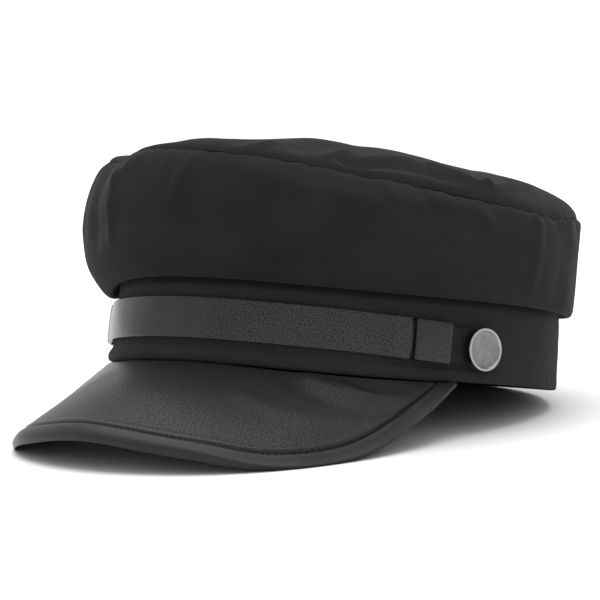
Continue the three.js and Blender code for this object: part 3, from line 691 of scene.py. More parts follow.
# the shares between which the folds come in from the middle, and between which they go out at the seam
FOLDS_COME_IN = (0.3, 0.6)
FOLDS_GO_OUT = (0.95, 0.995)


def seam_place(angle, inset):
    return place_round(angle, seam_outward(angle) - inset, seam_height(angle), BAND_HEIGHT)


def top_fold_lift(x, y):
    total = 0
    for outer, outer_inset, inner, inner_inset, half_width, lift in TOP_FOLDS:
        start = seam_place(math.radians(outer), outer_inset)
        end = seam_place(math.radians(inner), inner_inset)
        total = total + lift_by_fold(x, y, start, end, half_width, lift)
    return total


def top_places(angle, share, depth):
    """Places of the top, depth mm inside its outer face."""
    rim = seam_place(angle, SEAT_GAP + depth)
    x, y = rim[..., 0] * share, rim[..., 1] * share
    seam = even_seam_height(angle) + seam_wobble(angle) * share**WOBBLE_FADE
    fullness = (1 - np.minimum(share, 1) ** DOME_FULLNESS) ** DOME_SHOULDER
    sideways = 1 + DOME_LEAN_LEFT * x / BAND_HALF_WIDTH + DOME_LEAN_REAR * y / BAND_HALF_LENGTH
    base = SEAM_MEAN + (seam - SEAM_MEAN) * share**SEAM_FOLLOWED + SEAT_GAP
    faded = (1 - smooth_step(*FOLDS_GO_OUT, share)) * smooth_step(*FOLDS_COME_IN, share)
    height = base + (DOME_RISE * sideways - depth) * fullness + top_fold_lift(x, y) * faded
    return np.stack([x, y, height], -1)


middle_height = float(top_places(0.0, np.array(TOP_MIDDLE), 0)[2])
print("the top has", len(TOP_FOLDS), "folds, and its middle stands", round(middle_height, 1), "mm high")

# %% The top as a piece
TOP_RINGS = 84
TOP_INNER_RINGS = 18
# the rings lie closer together towards the seam: the powers by which they crowd there
TOP_CROWDING = 1.7
TOP_INNER_CROWDING = 1.2
TOP_EDGE_ROUND = 0.6
TOP_EDGE_REACH = 0.55
TOP_SETTLES = 8
TOP_WAVES = [(42, 0.5, 31), (15, 0.1, 32)]


def top_piece():
    angles = np.linspace(-math.pi, math.pi, WALL_COLUMNS, endpoint=False)
    along_head = length_round(np.linspace(-math.pi, math.pi, WALL_COLUMNS + 1))
    outer_shares = np.concatenate([[TOP_MIDDLE], 1 - (1 - np.linspace(0.02, 1, TOP_RINGS)) ** TOP_CROWDING])
    inner_shares = 1 - (1 - np.linspace(1, 0.05, TOP_INNER_RINGS)) ** TOP_INNER_CROWDING
    outer = top_places(angles[:, None], outer_shares[None, :], 0)
    inner = top_places(angles[:, None], inner_shares[None, :], CLOTH)
    from_seam = np.linalg.norm(outer[:, -1:, :2] - outer[..., :2], axis=-1)
    pinch = seam_pinch(along_head[:-1][:, None], from_seam, seed=13, deepest=0.08)
    pinch = pinch + stitch_dimples(along_head[:-1][:, None], from_seam, seed=12)
    rounding = -TOP_EDGE_ROUND * np.exp(-((from_seam / TOP_EDGE_REACH) ** 2))
    uneven = smooth_step(0, TOP_SETTLES, from_seam) * unevenness(outer, TOP_WAVES)
    outer[..., 2] += pinch + rounding + uneven
    inner_from_seam = np.linalg.norm(inner[:, :1, :2] - inner[..., :2], axis=-1)
    inner[..., 2] += smooth_step(0, TOP_SETTLES, inner_from_seam) * unevenness(inner, TOP_WAVES[:1])
    grid = in_room(pitched(np.concatenate([outer, inner], axis=1)))
    rows = grid.shape[1]
    flat = grid.reshape(-1, 3)
    radius = np.concatenate([outer_shares, inner_shares]) * BAND_HALF_LENGTH
    map_angles = np.append(angles, math.pi)

    def laid_flat(column, row):
        """The cloth's own place of a point: the oval is cut from the sheet as a round piece."""
        turn, reach = map_angles[column], radius[row]
        return np.stack([reach * np.sin(turn), -reach * np.cos(turn)], -1)

    faces, corners = faces_of_grid(WALL_COLUMNS, rows, True, False)
    map_points = np.stack([laid_flat(column, row) for column, row in corners], 1)
    inside_out = enclosed_volume(flat, faces) < 0
    if inside_out:
        faces, map_points = faces[:, ::-1], map_points[:, ::-1]
    all_faces = faces.tolist()
    columns = np.arange(WALL_COLUMNS)
    for row, turned in ((0, False), (rows - 1, True)):
        loop = columns if turned == inside_out else columns[::-1]
        all_faces.append((loop * rows + row).tolist())
        map_points = np.concatenate([map_points.reshape(-1, 2), laid_flat(loop, row)])
    made = smooth_object("crown_top_cloth", flat, all_faces, map_points)
    print("crown_top_cloth has", count_triangles(all_faces), "triangles")
    return made


crown_top = top_piece()
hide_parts("crown_top")
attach(crown_top, "root")

# %% [markdown]
# ## The peak
# The peak is stiff leather, moulded from the front of the band down to its rim, with a stitch line
# about five millimetres in from the edge. Its upper side, its rim and its underside are one grid: the
# rows run out along the top, round the edge and back below. That makes the rim's two soft corners
# real geometry, and the stitch line a real groove.

# %% The peak's rim
# half of the rim's lower edge from the front's middle to the wearer's left: side, forward, height
PEAK_RIM = [
    (0, 151.5, 11.3), (37.1, 142.2, 6.1), (60.1, 121.3, -0.4), (74.8, 90.9, 0.2),
    (81.6, 54.8, 12.0), (82.8, 34.2, 20.9),
]
PEAK_COLUMNS = 420


def even_steps(line, count):
    steps = lengths_along(line)
    places = np.linspace(0, steps[-1], count)
    return np.stack([np.interp(places, steps, line[:, axis]) for axis in range(3)], -1), steps[-1]


def rim_line(count):
    left = np.array([(side, -forward, height) for side, forward, height in PEAK_RIM], dtype=float)
    right = left[1:][::-1] * (-1, 1, 1)
    knots = np.concatenate([right, left])[:, None, :]
    line, _ = soft_line(knots, np.linspace(0, len(knots) - 1, 2001))
    return even_steps(line[:, 0], count)


rim, rim_length = rim_line(PEAK_COLUMNS)
peak_across = np.linspace(-1, 1, PEAK_COLUMNS)
print("the peak's rim is", round(rim_length), "mm long")

# %% The peak's leather
PEAK_END_ANGLE = math.radians(67.5)
PEAK_LEATHER = 3
PEAK_END_LEATHER = 1.0
# the power that keeps the peak's thinning close to its ends
THINNING = 8
PEAK_CAMBER = 1.5
# the peak is sewn in under the band's hem, this far inside the oval
PEAK_ROOT_OUT = -2.0
# the rim is soft on the wearer's right and in front, where the leather turns down and its upper edge
# stands back from the lower one by the bevel, and cut square on the left
RIM_BEVEL = 2
RIM_BEVEL_REACH = 6
SQUARE_FROM, SQUARE_TO = 0.1, 0.45
squareness = smooth_step(SQUARE_FROM, SQUARE_TO, peak_across)
TUCKED_FROM = 0.985
TUCKED_SHARE = 0.8
peak_leather = PEAK_LEATHER + (PEAK_END_LEATHER - PEAK_LEATHER) * peak_across**THINNING
peak_angle = PEAK_END_ANGLE * peak_across
root_height = lower_edge(peak_angle) - SEAT_GAP - peak_leather
peak_root = pitched(place_round(peak_angle, PEAK_ROOT_OUT, root_height, 0.0))
# both ends of the rim go in under the band
tucked = TUCKED_SHARE * smooth_step(TUCKED_FROM, 1, np.abs(peak_across))[:, None]
rim = rim + (peak_root - rim) * tucked


def peak_underside(shares):
    """The lower face from the band (share 0) to the rim (share 1)."""
    shares = np.asarray(shares, dtype=float)
    points = peak_root[:, None, :] + (rim - peak_root)[:, None, :] * shares[None, :, None]
    camber = PEAK_CAMBER * (1 - peak_across**2)
    points[..., 2] += camber[:, None] * np.sin(math.pi * shares)[None, :]
    return points


def peak_directions(shares):
    """Forward and upward at each place of the underside."""
    small = 0.01
    forward = unit(peak_underside(shares + small) - peak_underside(shares - small))
    sideways = np.gradient(peak_underside(shares), axis=0)
    return forward, unit(np.cross(forward, sideways))


peak_depth = np.linalg.norm(rim - peak_root, axis=-1)
print("the peak reaches", round(peak_depth.max(), 1), "mm forward of its root, under the leather")

# %% Distances on the peak
PEAK_ROWS = 110
# the rows lie closer together towards the rim: the power by which they crowd there
PEAK_CROWDING = 1.45
STITCH_INSET = 4.4
STITCH_INSET_SQUARE = 6.2
stitch_inset = STITCH_INSET + (STITCH_INSET_SQUARE - STITCH_INSET) * squareness
top_shares = 1 - (1 - np.linspace(0, 1, PEAK_ROWS)) ** PEAK_CROWDING


def nearest_distance(points, line):
    """How far each point lies from the nearest of the line's points."""
    nearest = []
    for column in points:
        nearest.append(np.linalg.norm(line[None] - column[:, None], axis=-1).min(-1))
    return np.stack(nearest)


def plain_top():
    """The upper face before any relief, with its forward and upward directions."""
    forward, up = peak_directions(top_shares)
    top = peak_underside(top_shares) + up * peak_leather[:, None, None]
    run_out = peak_depth[:, None] * (1 - top_shares)[None, :]
    bevel = (RIM_BEVEL * (1 - squareness) * peak_leather / PEAK_LEATHER)[:, None]
    return top - forward * (bevel * np.exp(-run_out / RIM_BEVEL_REACH))[..., None], forward, up


peak_top, peak_forward, peak_up = plain_top()
from_edge = nearest_distance(peak_top, peak_top[:, -1])
print("the peak is", round(from_edge.max(), 1), "mm deep from its edge")

# %% Relief of the peak
# a soft crease across the leather, each end as a share of the half width and of the depth, then its
# half width and its lift in mm: the leather was bent here and has kept a ridge beside the valley
PEAK_CREASES = [
    (0.43, 0.14, 0.80, 0.72, 4, -0.45), (0.50, 0.05, 0.80, 0.42, 3.6, 0.55),
    (0.30, 0.35, 0.62, 0.66, 3.4, 0.3), (0.62, 0.12, 0.70, 0.30, 2.2, 0.25),
    (-0.30, 0.20, 0.05, 0.45, 6, 0.25), (-0.62, 0.30, -0.35, 0.62, 5, -0.35),
]
# the groove that the thread pulls in, a ridge inside it and the rim's roll outside it: distance further
# in than the stitches, half width and lift, all in mm
STITCH_RELIEF = [(0, 0.5, -0.75), (1.9, 1.1, 0.16), (-2.0, 1.5, 0.20)]


def stitch_groove(distance_in):
    total = 0
    for middle, half_width, lift in STITCH_RELIEF:
        total = total + lift * np.exp(-(((distance_in - middle) / half_width) ** 2))
    return total


def peak_crease_lift():
    line = peak_across * rim_length / 2
    depth = peak_depth[:, None] * top_shares[None, :]
    full = peak_depth.mean()
    down = depth * full / depth[:, -1:]
    total = 0
    for across, share, across_end, share_end, half_width, lift in PEAK_CREASES:
        start = (across * rim_length / 2, share * full)
        end = (across_end * rim_length / 2, share_end * full)
        total = total + lift_by_fold(line[:, None], down, start, end, half_width, lift)
    return total


print("the leather keeps", len(PEAK_CREASES), "shallow bends")

# %% The peak's rim from above to below
# how round the rim is in mm, where it is soft and where it is cut square
RIM_ROUND = 0.75
RIM_ROUND_SQUARE = 0.15
RIM_ROWS = 11
# which way the rim bulges, as shares of forward and up, and how full its curve is: less is fuller
RIM_FORWARD, RIM_UP = 0.8, 0.6
RIM_CURVE = 0.8


def rim_rows(edge_top, edge_low, forward, up):
    """The rim between the upper face and the underside, from rounded to nearly flat."""
    roundness = RIM_ROUND + (RIM_ROUND_SQUARE - RIM_ROUND) * squareness
    outward = (RIM_FORWARD * forward + RIM_UP * up) * roundness[:, None]
    rows = []
    for share in np.linspace(0, 1, RIM_ROWS + 2)[1:-1]:
        straight = edge_top * (1 - share) + edge_low * share
        rows.append(straight + outward * math.sin(math.pi * share) ** RIM_CURVE)
    return np.stack(rows, 1)


print("the rim is rounded over", RIM_ROWS, "rows")

# %% The peak as a piece
PEAK_WAVES = [(30, 0.12, 41)]
PEAK_UNDER_ROWS = 40
# the stitch line fades out in this share of the half width at each end of the peak
STITCH_FADE = 0.05
CREASE_FADE = 6
SOFT_EDGE = 0.9
# how far the soft rim's upper edge and its underside turn down, and within what distance
TURN_DOWN = 0.35
TURN_DOWN_REACH = 0.8
RIM_DROOP = 0.7
RIM_DROOP_REACH = 5


def peak_piece():
    fade = smooth_step(0, STITCH_FADE, 1 - np.abs(peak_across))[:, None]
    soft_edge = 1 - np.exp(-from_edge / SOFT_EDGE)
    relief = stitch_groove(from_edge - stitch_inset[:, None]) * fade
    relief = relief + unevenness(peak_top, PEAK_WAVES)
    relief = relief + peak_crease_lift() * smooth_step(0, CREASE_FADE, from_edge)
    soft_side = (1 - squareness)[:, None]
    turn_down = -TURN_DOWN * np.exp(-from_edge / TURN_DOWN_REACH) * soft_side
    upper = peak_top + peak_up * (relief * soft_edge + turn_down)[..., None]
    under = peak_underside(np.linspace(1, 0, PEAK_UNDER_ROWS))
    from_rim = np.linalg.norm(under - under[:, :1], axis=-1)
    under[..., 2] -= RIM_DROOP * soft_side * np.exp(-((from_rim / RIM_DROOP_REACH) ** 2))
    edge = rim_rows(upper[:, -1], under[:, 0], peak_forward[:, -1], peak_up[:, -1])
    grid = np.concatenate([upper, edge, under], axis=1)
    grid[..., 2] = np.maximum(grid[..., 2], FLOOR_CLEARANCE)
    along = np.append(peak_across * rim_length / 2, rim_length / 2)
    across = lengths_along(grid[PEAK_COLUMNS // 2], closing=PEAK_LEATHER)
    return grid_piece("peak_leather", in_room(grid), along, across, round_columns=False)


peak = peak_piece()
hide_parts("peak")
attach(peak, "root")

# %% [markdown]
# ## The strap
# The strap is a leather strip that lies on the band across the front. Its edges are rounded over,
# and its face swells very slightly between them. The section is a small loop with soft corners, and
# the strap drops a little towards its ends, which slip over the tabs.

# %% A strip's section with soft corners
CORNER_STEPS = 5


def strip_section(corner, face_steps):
    """The section's points: (outward sign, height sign, corner outward, corner height).

    The signs are shares of the strip's half thickness and half height without its corners, and the
    corner's own offsets are in mm. Only the two long faces have points between the corners.
    """

    def corner_point(out_sign, high_sign, turn):
        return (out_sign, high_sign, corner * math.cos(turn), corner * math.sin(turn))

    points = []
    starts = [(1, -1, -math.pi / 2), (1, 1, 0), (-1, 1, math.pi / 2), (-1, -1, math.pi)]
    for number, (out_sign, high_sign, start) in enumerate(starts):
        for turn in np.linspace(0, math.pi / 2, CORNER_STEPS) + start:
            points.append(corner_point(out_sign, high_sign, turn))
        last = corner_point(out_sign, high_sign, start + math.pi / 2)
        first = corner_point(*starts[(number + 1) % 4])
        if number in (0, 2):
            for share in np.linspace(0, 1, face_steps + 2)[1:-1]:
                points.append(tuple(a * (1 - share) + b * share for a, b in zip(last, first)))
    return np.array(points)


def strip_loop(section, inner, outer, low, high, corner, swell=0.0):
    """(outward, height) of each of the section's points for strips given as arrays over the columns."""
    middle_out, half_out = (inner + outer) / 2, (outer - inner) / 2 - corner
    middle_high, half_high = (low + high) / 2, (high - low) / 2 - corner
    outward = middle_out[:, None] + section[None, :, 0] * half_out[:, None] + section[None, :, 2]
    height = middle_high[:, None] + section[None, :, 1] * half_high[:, None] + section[None, :, 3]
    rise = 1 - section[None, :, 1] ** 2
    outward = outward + swell * rise * (section[None, :, 0] > 0)
    return outward, height


print("a strip's section has", len(strip_section(corner=0.45, face_steps=24)), "points")

# %% A strip that lies on the band
STRAP_LOW = 8.1
STRAP_HIGH = 23.5
STRAP_DROP = 2.8
DROP_FROM, DROP_TO = math.radians(35), math.radians(85)
STRIP_CLOSING = 0.3
# the last share of a strip's half length, where its cut end bows out
END_CURVE_FROM = 0.9


def strap_drop(angle):
    """How far the strap and the tabs come down from their height at the front."""
    return STRAP_DROP * smooth_step(DROP_FROM, DROP_TO, np.abs(angle))


def strip_piece(name, angles, inner, outer, low, high, corner, face_steps, swell=0.0, end_curve=0.0):
    """A strip between two distances out from the oval and two heights over the band's lower edge."""
    section = strip_section(corner, face_steps)
    inner, outer, low, high = (np.broadcast_to(value, angles.shape) for value in (inner, outer, low, high))
    outward, height = strip_loop(section, inner, outer, low, high, corner, swell)
    base = lower_edge(angles) - strap_drop(angles)
    turned = np.repeat(angles[:, None], len(section), axis=1)
    if end_curve:
        middle, half = (low + high) / 2, (high - low) / 2
        level = (height - middle[:, None]) / half[:, None]
        nearness = smooth_step(END_CURVE_FROM, 1, np.abs(angles) / np.abs(angles).max())[:, None]
        turned = turned + np.sign(turned) * nearness * end_curve * (1 - level**2) / BAND_HALF_LENGTH
    points = place_round(turned, outward, height + base[:, None])
    along = lengths_along(oval(angles, 0), closing=0)
    across = lengths_along(np.stack([outward[0], height[0]], -1), closing=STRIP_CLOSING)
    return grid_piece(name, in_room(pitched(points)), along, across, round_columns=False)


print("the strap is", round(STRAP_HIGH - STRAP_LOW, 1), "mm wide and drops by", STRAP_DROP, "mm")

# %% The strap as a piece
STRAP_LEATHER = 1.6
STRAP_END = math.radians(56.2)
STRAP_COLUMNS = 361
KEEPER_BACK = 0.5
ON_BAND = BAND_FACE + SEAT_GAP
IN_KEEPER = ON_BAND + KEEPER_BACK + SEAT_GAP
TAB_LEATHER = 0.9
TAB_INSET = 0.9
# where the tab rises into the keeper, and where the strap rises on to the tab
TAB_RISES_FROM, TAB_RISES_TO = math.radians(55.8), math.radians(57.8)
STRAP_RISES_FROM, STRAP_RISES_TO = math.radians(49), math.radians(53)


def tab_inner(angle):
    risen = smooth_step(TAB_RISES_FROM, TAB_RISES_TO, np.abs(angle))
    return ON_BAND + (IN_KEEPER - ON_BAND) * risen


def strap_piece():
    angles = np.linspace(-STRAP_END, STRAP_END, STRAP_COLUMNS)
    lifted = smooth_step(STRAP_RISES_FROM, STRAP_RISES_TO, np.abs(angles))
    inner = ON_BAND + lifted * (tab_inner(angles) + TAB_LEATHER + SEAT_GAP - ON_BAND)
    faces_and_edges = (inner, inner + STRAP_LEATHER, STRAP_LOW, STRAP_HIGH)
    soft = {"corner": 0.45, "face_steps": 24, "swell": 0.25, "end_curve": 0.6}
    return strip_piece("strap_leather", angles, *faces_and_edges, **soft)


strap = strap_piece()
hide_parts("strap")
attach(strap, "root")

# %% [markdown]
# ## Tabs, keepers and buttons
# At each end of the strap a thin tab runs under a leather loop, the keeper, and on under a metal
# button. The two sides are the same pieces mirrored, so each is made by one function that is given a
# side. The button is turned like a dish on a lathe: a profile from its middle out over the rim.

# %% Tabs
TAB_FROM = math.radians(53.6)
BUTTON_ANGLE = math.radians(74.8)
TAB_END = BUTTON_ANGLE + math.radians(3.6)
TAB_COLUMNS = 90
SIDES = {"left": 1, "right": -1}


def tab_piece(label, side):
    angles = np.linspace(TAB_FROM, TAB_END, TAB_COLUMNS) * side
    inner = tab_inner(angles)
    faces_and_edges = (inner, inner + TAB_LEATHER, STRAP_LOW + TAB_INSET, STRAP_HIGH - TAB_INSET)
    return strip_piece("tab_" + label + "_leather", angles, *faces_and_edges, corner=0.3, face_steps=16)


tabs = {}
for label, side in SIDES.items():
    tabs[label] = tab_piece(label, side)
    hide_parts("tab_" + label)
    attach(tabs[label], "root")

# %% Keepers
KEEPER_FROM = math.radians(57.4)
KEEPER_TO = math.radians(66.3)
KEEPER_LEATHER = 1.2
KEEPER_COLUMNS = 40
KEEPER_FACE_STEPS = 14
KEEPER_CORNER = 0.5
KEEPER_SWELL = 0.35
HOLLOW_CORNER = 0.2
# the outer skin draws in by this much over the last half millimetre, which rounds the cut edges
KEEPER_DRAWN = 0.35
KEEPER_DRAWN_REACH = 0.5
# about half the keeper's height, over which its upper and lower edges draw in as well
KEEPER_HALF_HIGH = 8


def keeper_skins(angles):
    """The loop's outer and inner skin: (columns, points, outward and height)."""
    ones = np.ones_like(angles)
    low, high = STRAP_LOW * ones, STRAP_HIGH * ones
    inner_out = (IN_KEEPER + TAB_LEATHER + SEAT_GAP) * ones
    outer_out = (IN_KEEPER + TAB_LEATHER + SEAT_GAP + KEEPER_LEATHER) * ones
    around = strip_section(KEEPER_CORNER, KEEPER_FACE_STEPS)
    outer, outer_height = strip_loop(
        around, ON_BAND * ones, outer_out, low, high, KEEPER_CORNER, KEEPER_SWELL)
    clear = TAB_INSET - SEAT_GAP
    hollow = strip_section(HOLLOW_CORNER, KEEPER_FACE_STEPS)
    inner, inner_height = strip_loop(
        hollow, (IN_KEEPER - SEAT_GAP) * ones, inner_out, low + clear, high - clear, HOLLOW_CORNER)
    column = np.arange(KEEPER_COLUMNS)
    from_cut = np.minimum(column, column[::-1]) * length_round(angles)[1]
    drawn = KEEPER_DRAWN * np.exp(-((from_cut / KEEPER_DRAWN_REACH) ** 2))[:, None]
    middle = (STRAP_LOW + STRAP_HIGH) / 2
    outer = outer - drawn * (outer > inner_out[0] - KEEPER_LEATHER / 2)
    outer_height = middle + (outer_height - middle) * (1 - drawn / KEEPER_HALF_HIGH)
    return np.stack([outer, outer_height], -1), np.stack([inner, inner_height], -1)


def keeper_piece(label, side):
    angles = np.linspace(KEEPER_FROM, KEEPER_TO, KEEPER_COLUMNS) * side
    outer, inner = keeper_skins(angles)
    # out along the outer skin and back along the inner one, with a row in the middle of each cut edge
    first_cut, last_cut = (outer[:1] + inner[:1]) / 2, (outer[-1:] + inner[-1:]) / 2
    skin = np.concatenate([first_cut, outer, last_cut, inner[::-1]])
    outward, height = skin[..., 0], skin[..., 1]
    round_angles = np.concatenate([angles[:1], angles, angles[-1:], angles[::-1]])
    base = lower_edge(round_angles) - strap_drop(round_angles)
    turned = np.repeat(round_angles[:, None], skin.shape[1], axis=1)
    points = place_round(turned, outward, height + base[:, None])
    along = lengths_along(points[:, 0], closing=0.5)
    across = lengths_along(outer[KEEPER_COLUMNS // 2], closing=STRIP_CLOSING)
    return grid_piece("keeper_" + label + "_leather", in_room(pitched(points)), along, across)


keepers = {}
for label, side in SIDES.items():
    keepers[label] = keeper_piece(label, side)
    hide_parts("keeper_" + label)
    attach(keepers[label], "root")

# %% A button's profile
BUTTON_HEIGHT = 2.6
button_back = SEAT_GAP
button_front = button_back + BUTTON_HEIGHT
# radius and height of the profile, from the shank's end round the rim to the dished middle
BUTTON_PROFILE = [
    (0.01, -4.2), (1.8, -4.2), (2.0, -4.0), (2.0, -1), (2.0, button_back - 0.05), (2.4, button_back),
    (6.0, button_back), (6.4, button_back + 0.1), (6.75, button_back + 0.45), (7.5, button_back + 1.2),
    (8.05, button_front - 0.7), (8.1, button_front - 0.3), (7.9, button_front - 0.06),
    (7.6, button_front), (7.3, button_front - 0.06), (7.12, button_front - 0.3),
    (6.95, button_front - 0.62), (6.5, button_front - 0.78), (5.4, button_front - 0.86),
    (3.6, button_front - 0.92), (1.6, button_front - 0.94), (0.01, button_front - 0.94),
]
profile_lengths = lengths_along(np.array(BUTTON_PROFILE))
print("the button's profile is", round(profile_lengths[-1], 1), "mm long")

# %% Buttons
BUTTON_RADIUS = 8.2
BUTTON_DROP = 0.7
BUTTON_COLUMNS = 128


def button_piece(label, side):
    angle = side * BUTTON_ANGLE
    middle = (STRAP_LOW + STRAP_HIGH) / 2
    height = lower_edge(angle) - strap_drop(angle) + middle - BUTTON_DROP
    centre = place_round(angle, IN_KEEPER + TAB_LEATHER, height)
    out = np.append(facing(np.array(angle)), 0.0)
    sideways = np.array([-out[1], out[0], 0.0])
    up = np.array([0.0, 0.0, 1.0])
    radius, level = np.array(BUTTON_PROFILE).T
    turn = np.linspace(0, 2 * math.pi, BUTTON_COLUMNS, endpoint=False)[:, None, None]
    ring = (np.cos(turn) * sideways + np.sin(turn) * up) * radius[None, :, None]
    points = centre + ring + out * level[None, :, None]
    along = np.linspace(0, 2 * math.pi * BUTTON_RADIUS, BUTTON_COLUMNS + 1)
    grid = in_room(pitched(points))
    return grid_piece("button_" + label + "_metal", grid, along, profile_lengths, round_rows=False)


buttons = {}
for label, side in SIDES.items():
    buttons[label] = button_piece(label, side)
    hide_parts("button_" + label)
    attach(buttons[label], "root")

# %% [markdown]
# ## Thread
# One row of stitches shows, along the peak's rim. Each stitch is a short, fat capsule that dips into
# the leather at both ends. All the stitches are one mesh, because they are one thread.

# %% Stitches along a line
STITCH_SIDES = 8
STITCH_STOPS = 7
STITCH_SHOWN = 0.78
FIRST_STITCH = 0.3
# how thick the thread is where it dips in, and how far its middle rises and its ends sink, as shares of
# its full thickness
THREAD_PINCHED = 0.45
THREAD_RISE = 0.45
THREAD_SINK = 0.2


def one_stitch(middle, lift, thickness, first):
    """The points and faces of a capsule along the line middle. first is the number of its first point."""
    along = unit(middle[-1] - middle[0])
    beside = unit(np.cross(lift, along))
    arch = np.sin(np.linspace(0, math.pi, STITCH_STOPS))
    points, faces = [], []
    for stop in range(STITCH_STOPS):
        radius = thickness / 2 * (THREAD_PINCHED + (1 - THREAD_PINCHED) * arch[stop])
        rise = arch[stop] * thickness * THREAD_RISE - thickness * THREAD_SINK
        raised = middle[stop] + lift[stop] * rise
        for corner in range(STITCH_SIDES):
            turn = 2 * math.pi * corner / STITCH_SIDES
            points.append(raised + radius * (math.cos(turn) * beside[stop] + math.sin(turn) * lift[stop]))
    for stop in range(STITCH_STOPS - 1):
        a, b = first + stop * STITCH_SIDES, first + (stop + 1) * STITCH_SIDES
        for corner in range(STITCH_SIDES):
            after = (corner + 1) % STITCH_SIDES
            faces.append((a + corner, a + after, b + after, b + corner))
    last = first + (STITCH_STOPS - 1) * STITCH_SIDES
    faces.append(tuple(first + corner for corner in reversed(range(STITCH_SIDES))))
    faces.append(tuple(last + corner for corner in range(STITCH_SIDES)))
    return points, faces


def stitches(name, places, lifts, pitch, thickness):
    """places is a dense line in mm, lifts the direction in which the thread stands proud."""
    steps = lengths_along(places)
    count = int(steps[-1] / pitch)
    points, faces = [], []
    for number in range(count):
        start = number * pitch + FIRST_STITCH
        stations = start + np.linspace(0, 1, STITCH_STOPS) * pitch * STITCH_SHOWN
        middle, lift = (
            np.stack([np.interp(stations, steps, line[:, axis]) for axis in range(3)], -1)
            for line in (places, lifts)
        )
        new_points, new_faces = one_stitch(middle, unit(lift), thickness, len(points))
        points += new_points
        faces += new_faces
    made = smooth_object(name, in_room(np.array(points)), faces)
    print(name, "has", count, "stitches")
    return made


print("each stitch has", STITCH_SIDES * STITCH_STOPS, "points")

# %% Stitches on the peak
THREAD_ENDS = 0.97
# the thread lies this deep in its groove, in mm
THREAD_DEPTH = 0.5
THREAD = 0.45
PEAK_STITCH_PITCH = 2.4
# the line of the nearest points is stepped, so each place is the mean of this many
EVENED = 9


def peak_stitches():
    line, lifts = [], []
    for column in np.nonzero(np.abs(peak_across) < THREAD_ENDS)[0]:
        row = np.argmin(np.abs(from_edge[column] - stitch_inset[column]))
        line.append(peak_top[column, row] - peak_up[column, row] * THREAD_DEPTH)
        lifts.append(peak_up[column, row])
    evenly = np.ones(EVENED) / EVENED
    smoothed = np.stack([np.convolve(axis, evenly, "valid") for axis in np.array(line).T], -1)
    lifts = np.array(lifts)[EVENED // 2 : -(EVENED // 2)]
    return stitches("peak_thread", smoothed, lifts, PEAK_STITCH_PITCH, THREAD)


peak_thread = peak_stitches()
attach(peak_thread, "root")

# %% [markdown]
# ## Finishes
# All the finishes are built from Blender's procedural textures. The cloth's own coordinates drive the
# weave and the grain, in millimetres. Each texture could be wired by hand in every finish, but a few
# helpers for a node, a texture, a range and a bump say the same in one line each. What is the same all
# over a surface is typed into the shader.

# %% Helpers for nodes


def fill_sockets(node, values=(), wires=()):
    """values sets a node's sockets by name, and wires joins other nodes' outputs to them."""
    for socket, value in dict(values).items():
        node.inputs[socket].default_value = value
    for socket, source in dict(wires).items():
        node.id_data.links.new(source, node.inputs[socket])


def add_node(tree, kind, values=(), wires=()):
    node = tree.nodes.new(kind)
    fill_sockets(node, values, wires)
    return node


def new_finish(name):
    """A new material, its tree of nodes and its shader."""
    finish = bpy.data.materials.new(name)
    finish.use_nodes = True
    return finish, finish.node_tree, finish.node_tree.nodes["Principled BSDF"]


def put_on(finish, *pieces):
    for piece in pieces:
        piece.data.materials.append(finish)
    names = ", ".join(piece.name for piece in pieces)
    print(finish.name, "has", len(finish.node_tree.nodes), "nodes and is on:", names)


def grey(value):
    return (value, value, value)


print("materials of the plain cap:", len(bpy.data.materials))

# %% Helpers for places and textures
# the solid middle of a dot, as a share of its radius
DOT_CORE = 0.6


def cloth_coordinates(tree, scale):
    """The piece's own coordinates, with the scale in patterns for each millimetre."""
    source = add_node(tree, "ShaderNodeUVMap")
    source.uv_map = "cloth"
    wires = {"Vector": source.outputs["UV"]}
    return add_node(tree, "ShaderNodeMapping", {"Scale": scale}, wires).outputs["Vector"]


def cloth_place(tree):
    """How far along the piece a place lies, and how far across it, in mm."""
    wires = {"Vector": cloth_coordinates(tree, grey(1.0))}
    split = add_node(tree, "ShaderNodeSeparateXYZ", wires=wires)
    return split.outputs["X"], split.outputs["Y"]


def room_coordinates(tree, scale):
    """Coordinates that don't bend with the piece, with the scale in patterns for each millimetre."""
    wires = {"Vector": add_node(tree, "ShaderNodeTexCoord").outputs["Object"]}
    return add_node(tree, "ShaderNodeMapping", {"Scale": grey(scale / MM)}, wires).outputs["Vector"]


def noise(tree, vector, detail=3.0, roughness=0.55):
    values = {"Scale": 1.0, "Detail": detail, "Roughness": roughness}
    return add_node(tree, "ShaderNodeTexNoise", values, {"Vector": vector}).outputs["Fac"]


def colour_range(tree, factor, stops):
    """The stops are (factor, grey)."""
    ramp = add_node(tree, "ShaderNodeValToRGB", wires={"Fac": factor})
    entries = ramp.color_ramp.elements
    for entry, (position, value) in zip(entries, stops):
        entry.position = position
        entry.color = (*grey(value), 1)
    return ramp.outputs["Color"]


def value_range(tree, factor, low, high, start=0.0, end=1.0):
    """low where the factor is start or less, high where it is end or more."""
    values = {"From Min": start, "From Max": end, "To Min": low, "To Max": high}
    return add_node(tree, "ShaderNodeMapRange", values, {"Value": factor}).outputs["Result"]


def scattered_dots(tree, vector, radius):
    """1 inside small dots, one in each cell of the pattern, 0 outside them."""
    cells = add_node(tree, "ShaderNodeTexVoronoi", {"Scale": 1.0}, {"Vector": vector})
    return value_range(tree, cells.outputs["Distance"], 1, 0, radius * DOT_CORE, radius)


# %% Helpers for bumps and mixtures


def bumped(tree, height, depth_mm, strength, under=None):
    values = {"Strength": strength, "Distance": depth_mm * MM}
    wires = {"Height": height}
    if under is not None:
        wires["Normal"] = under
    return add_node(tree, "ShaderNodeBump", values, wires).outputs["Normal"]


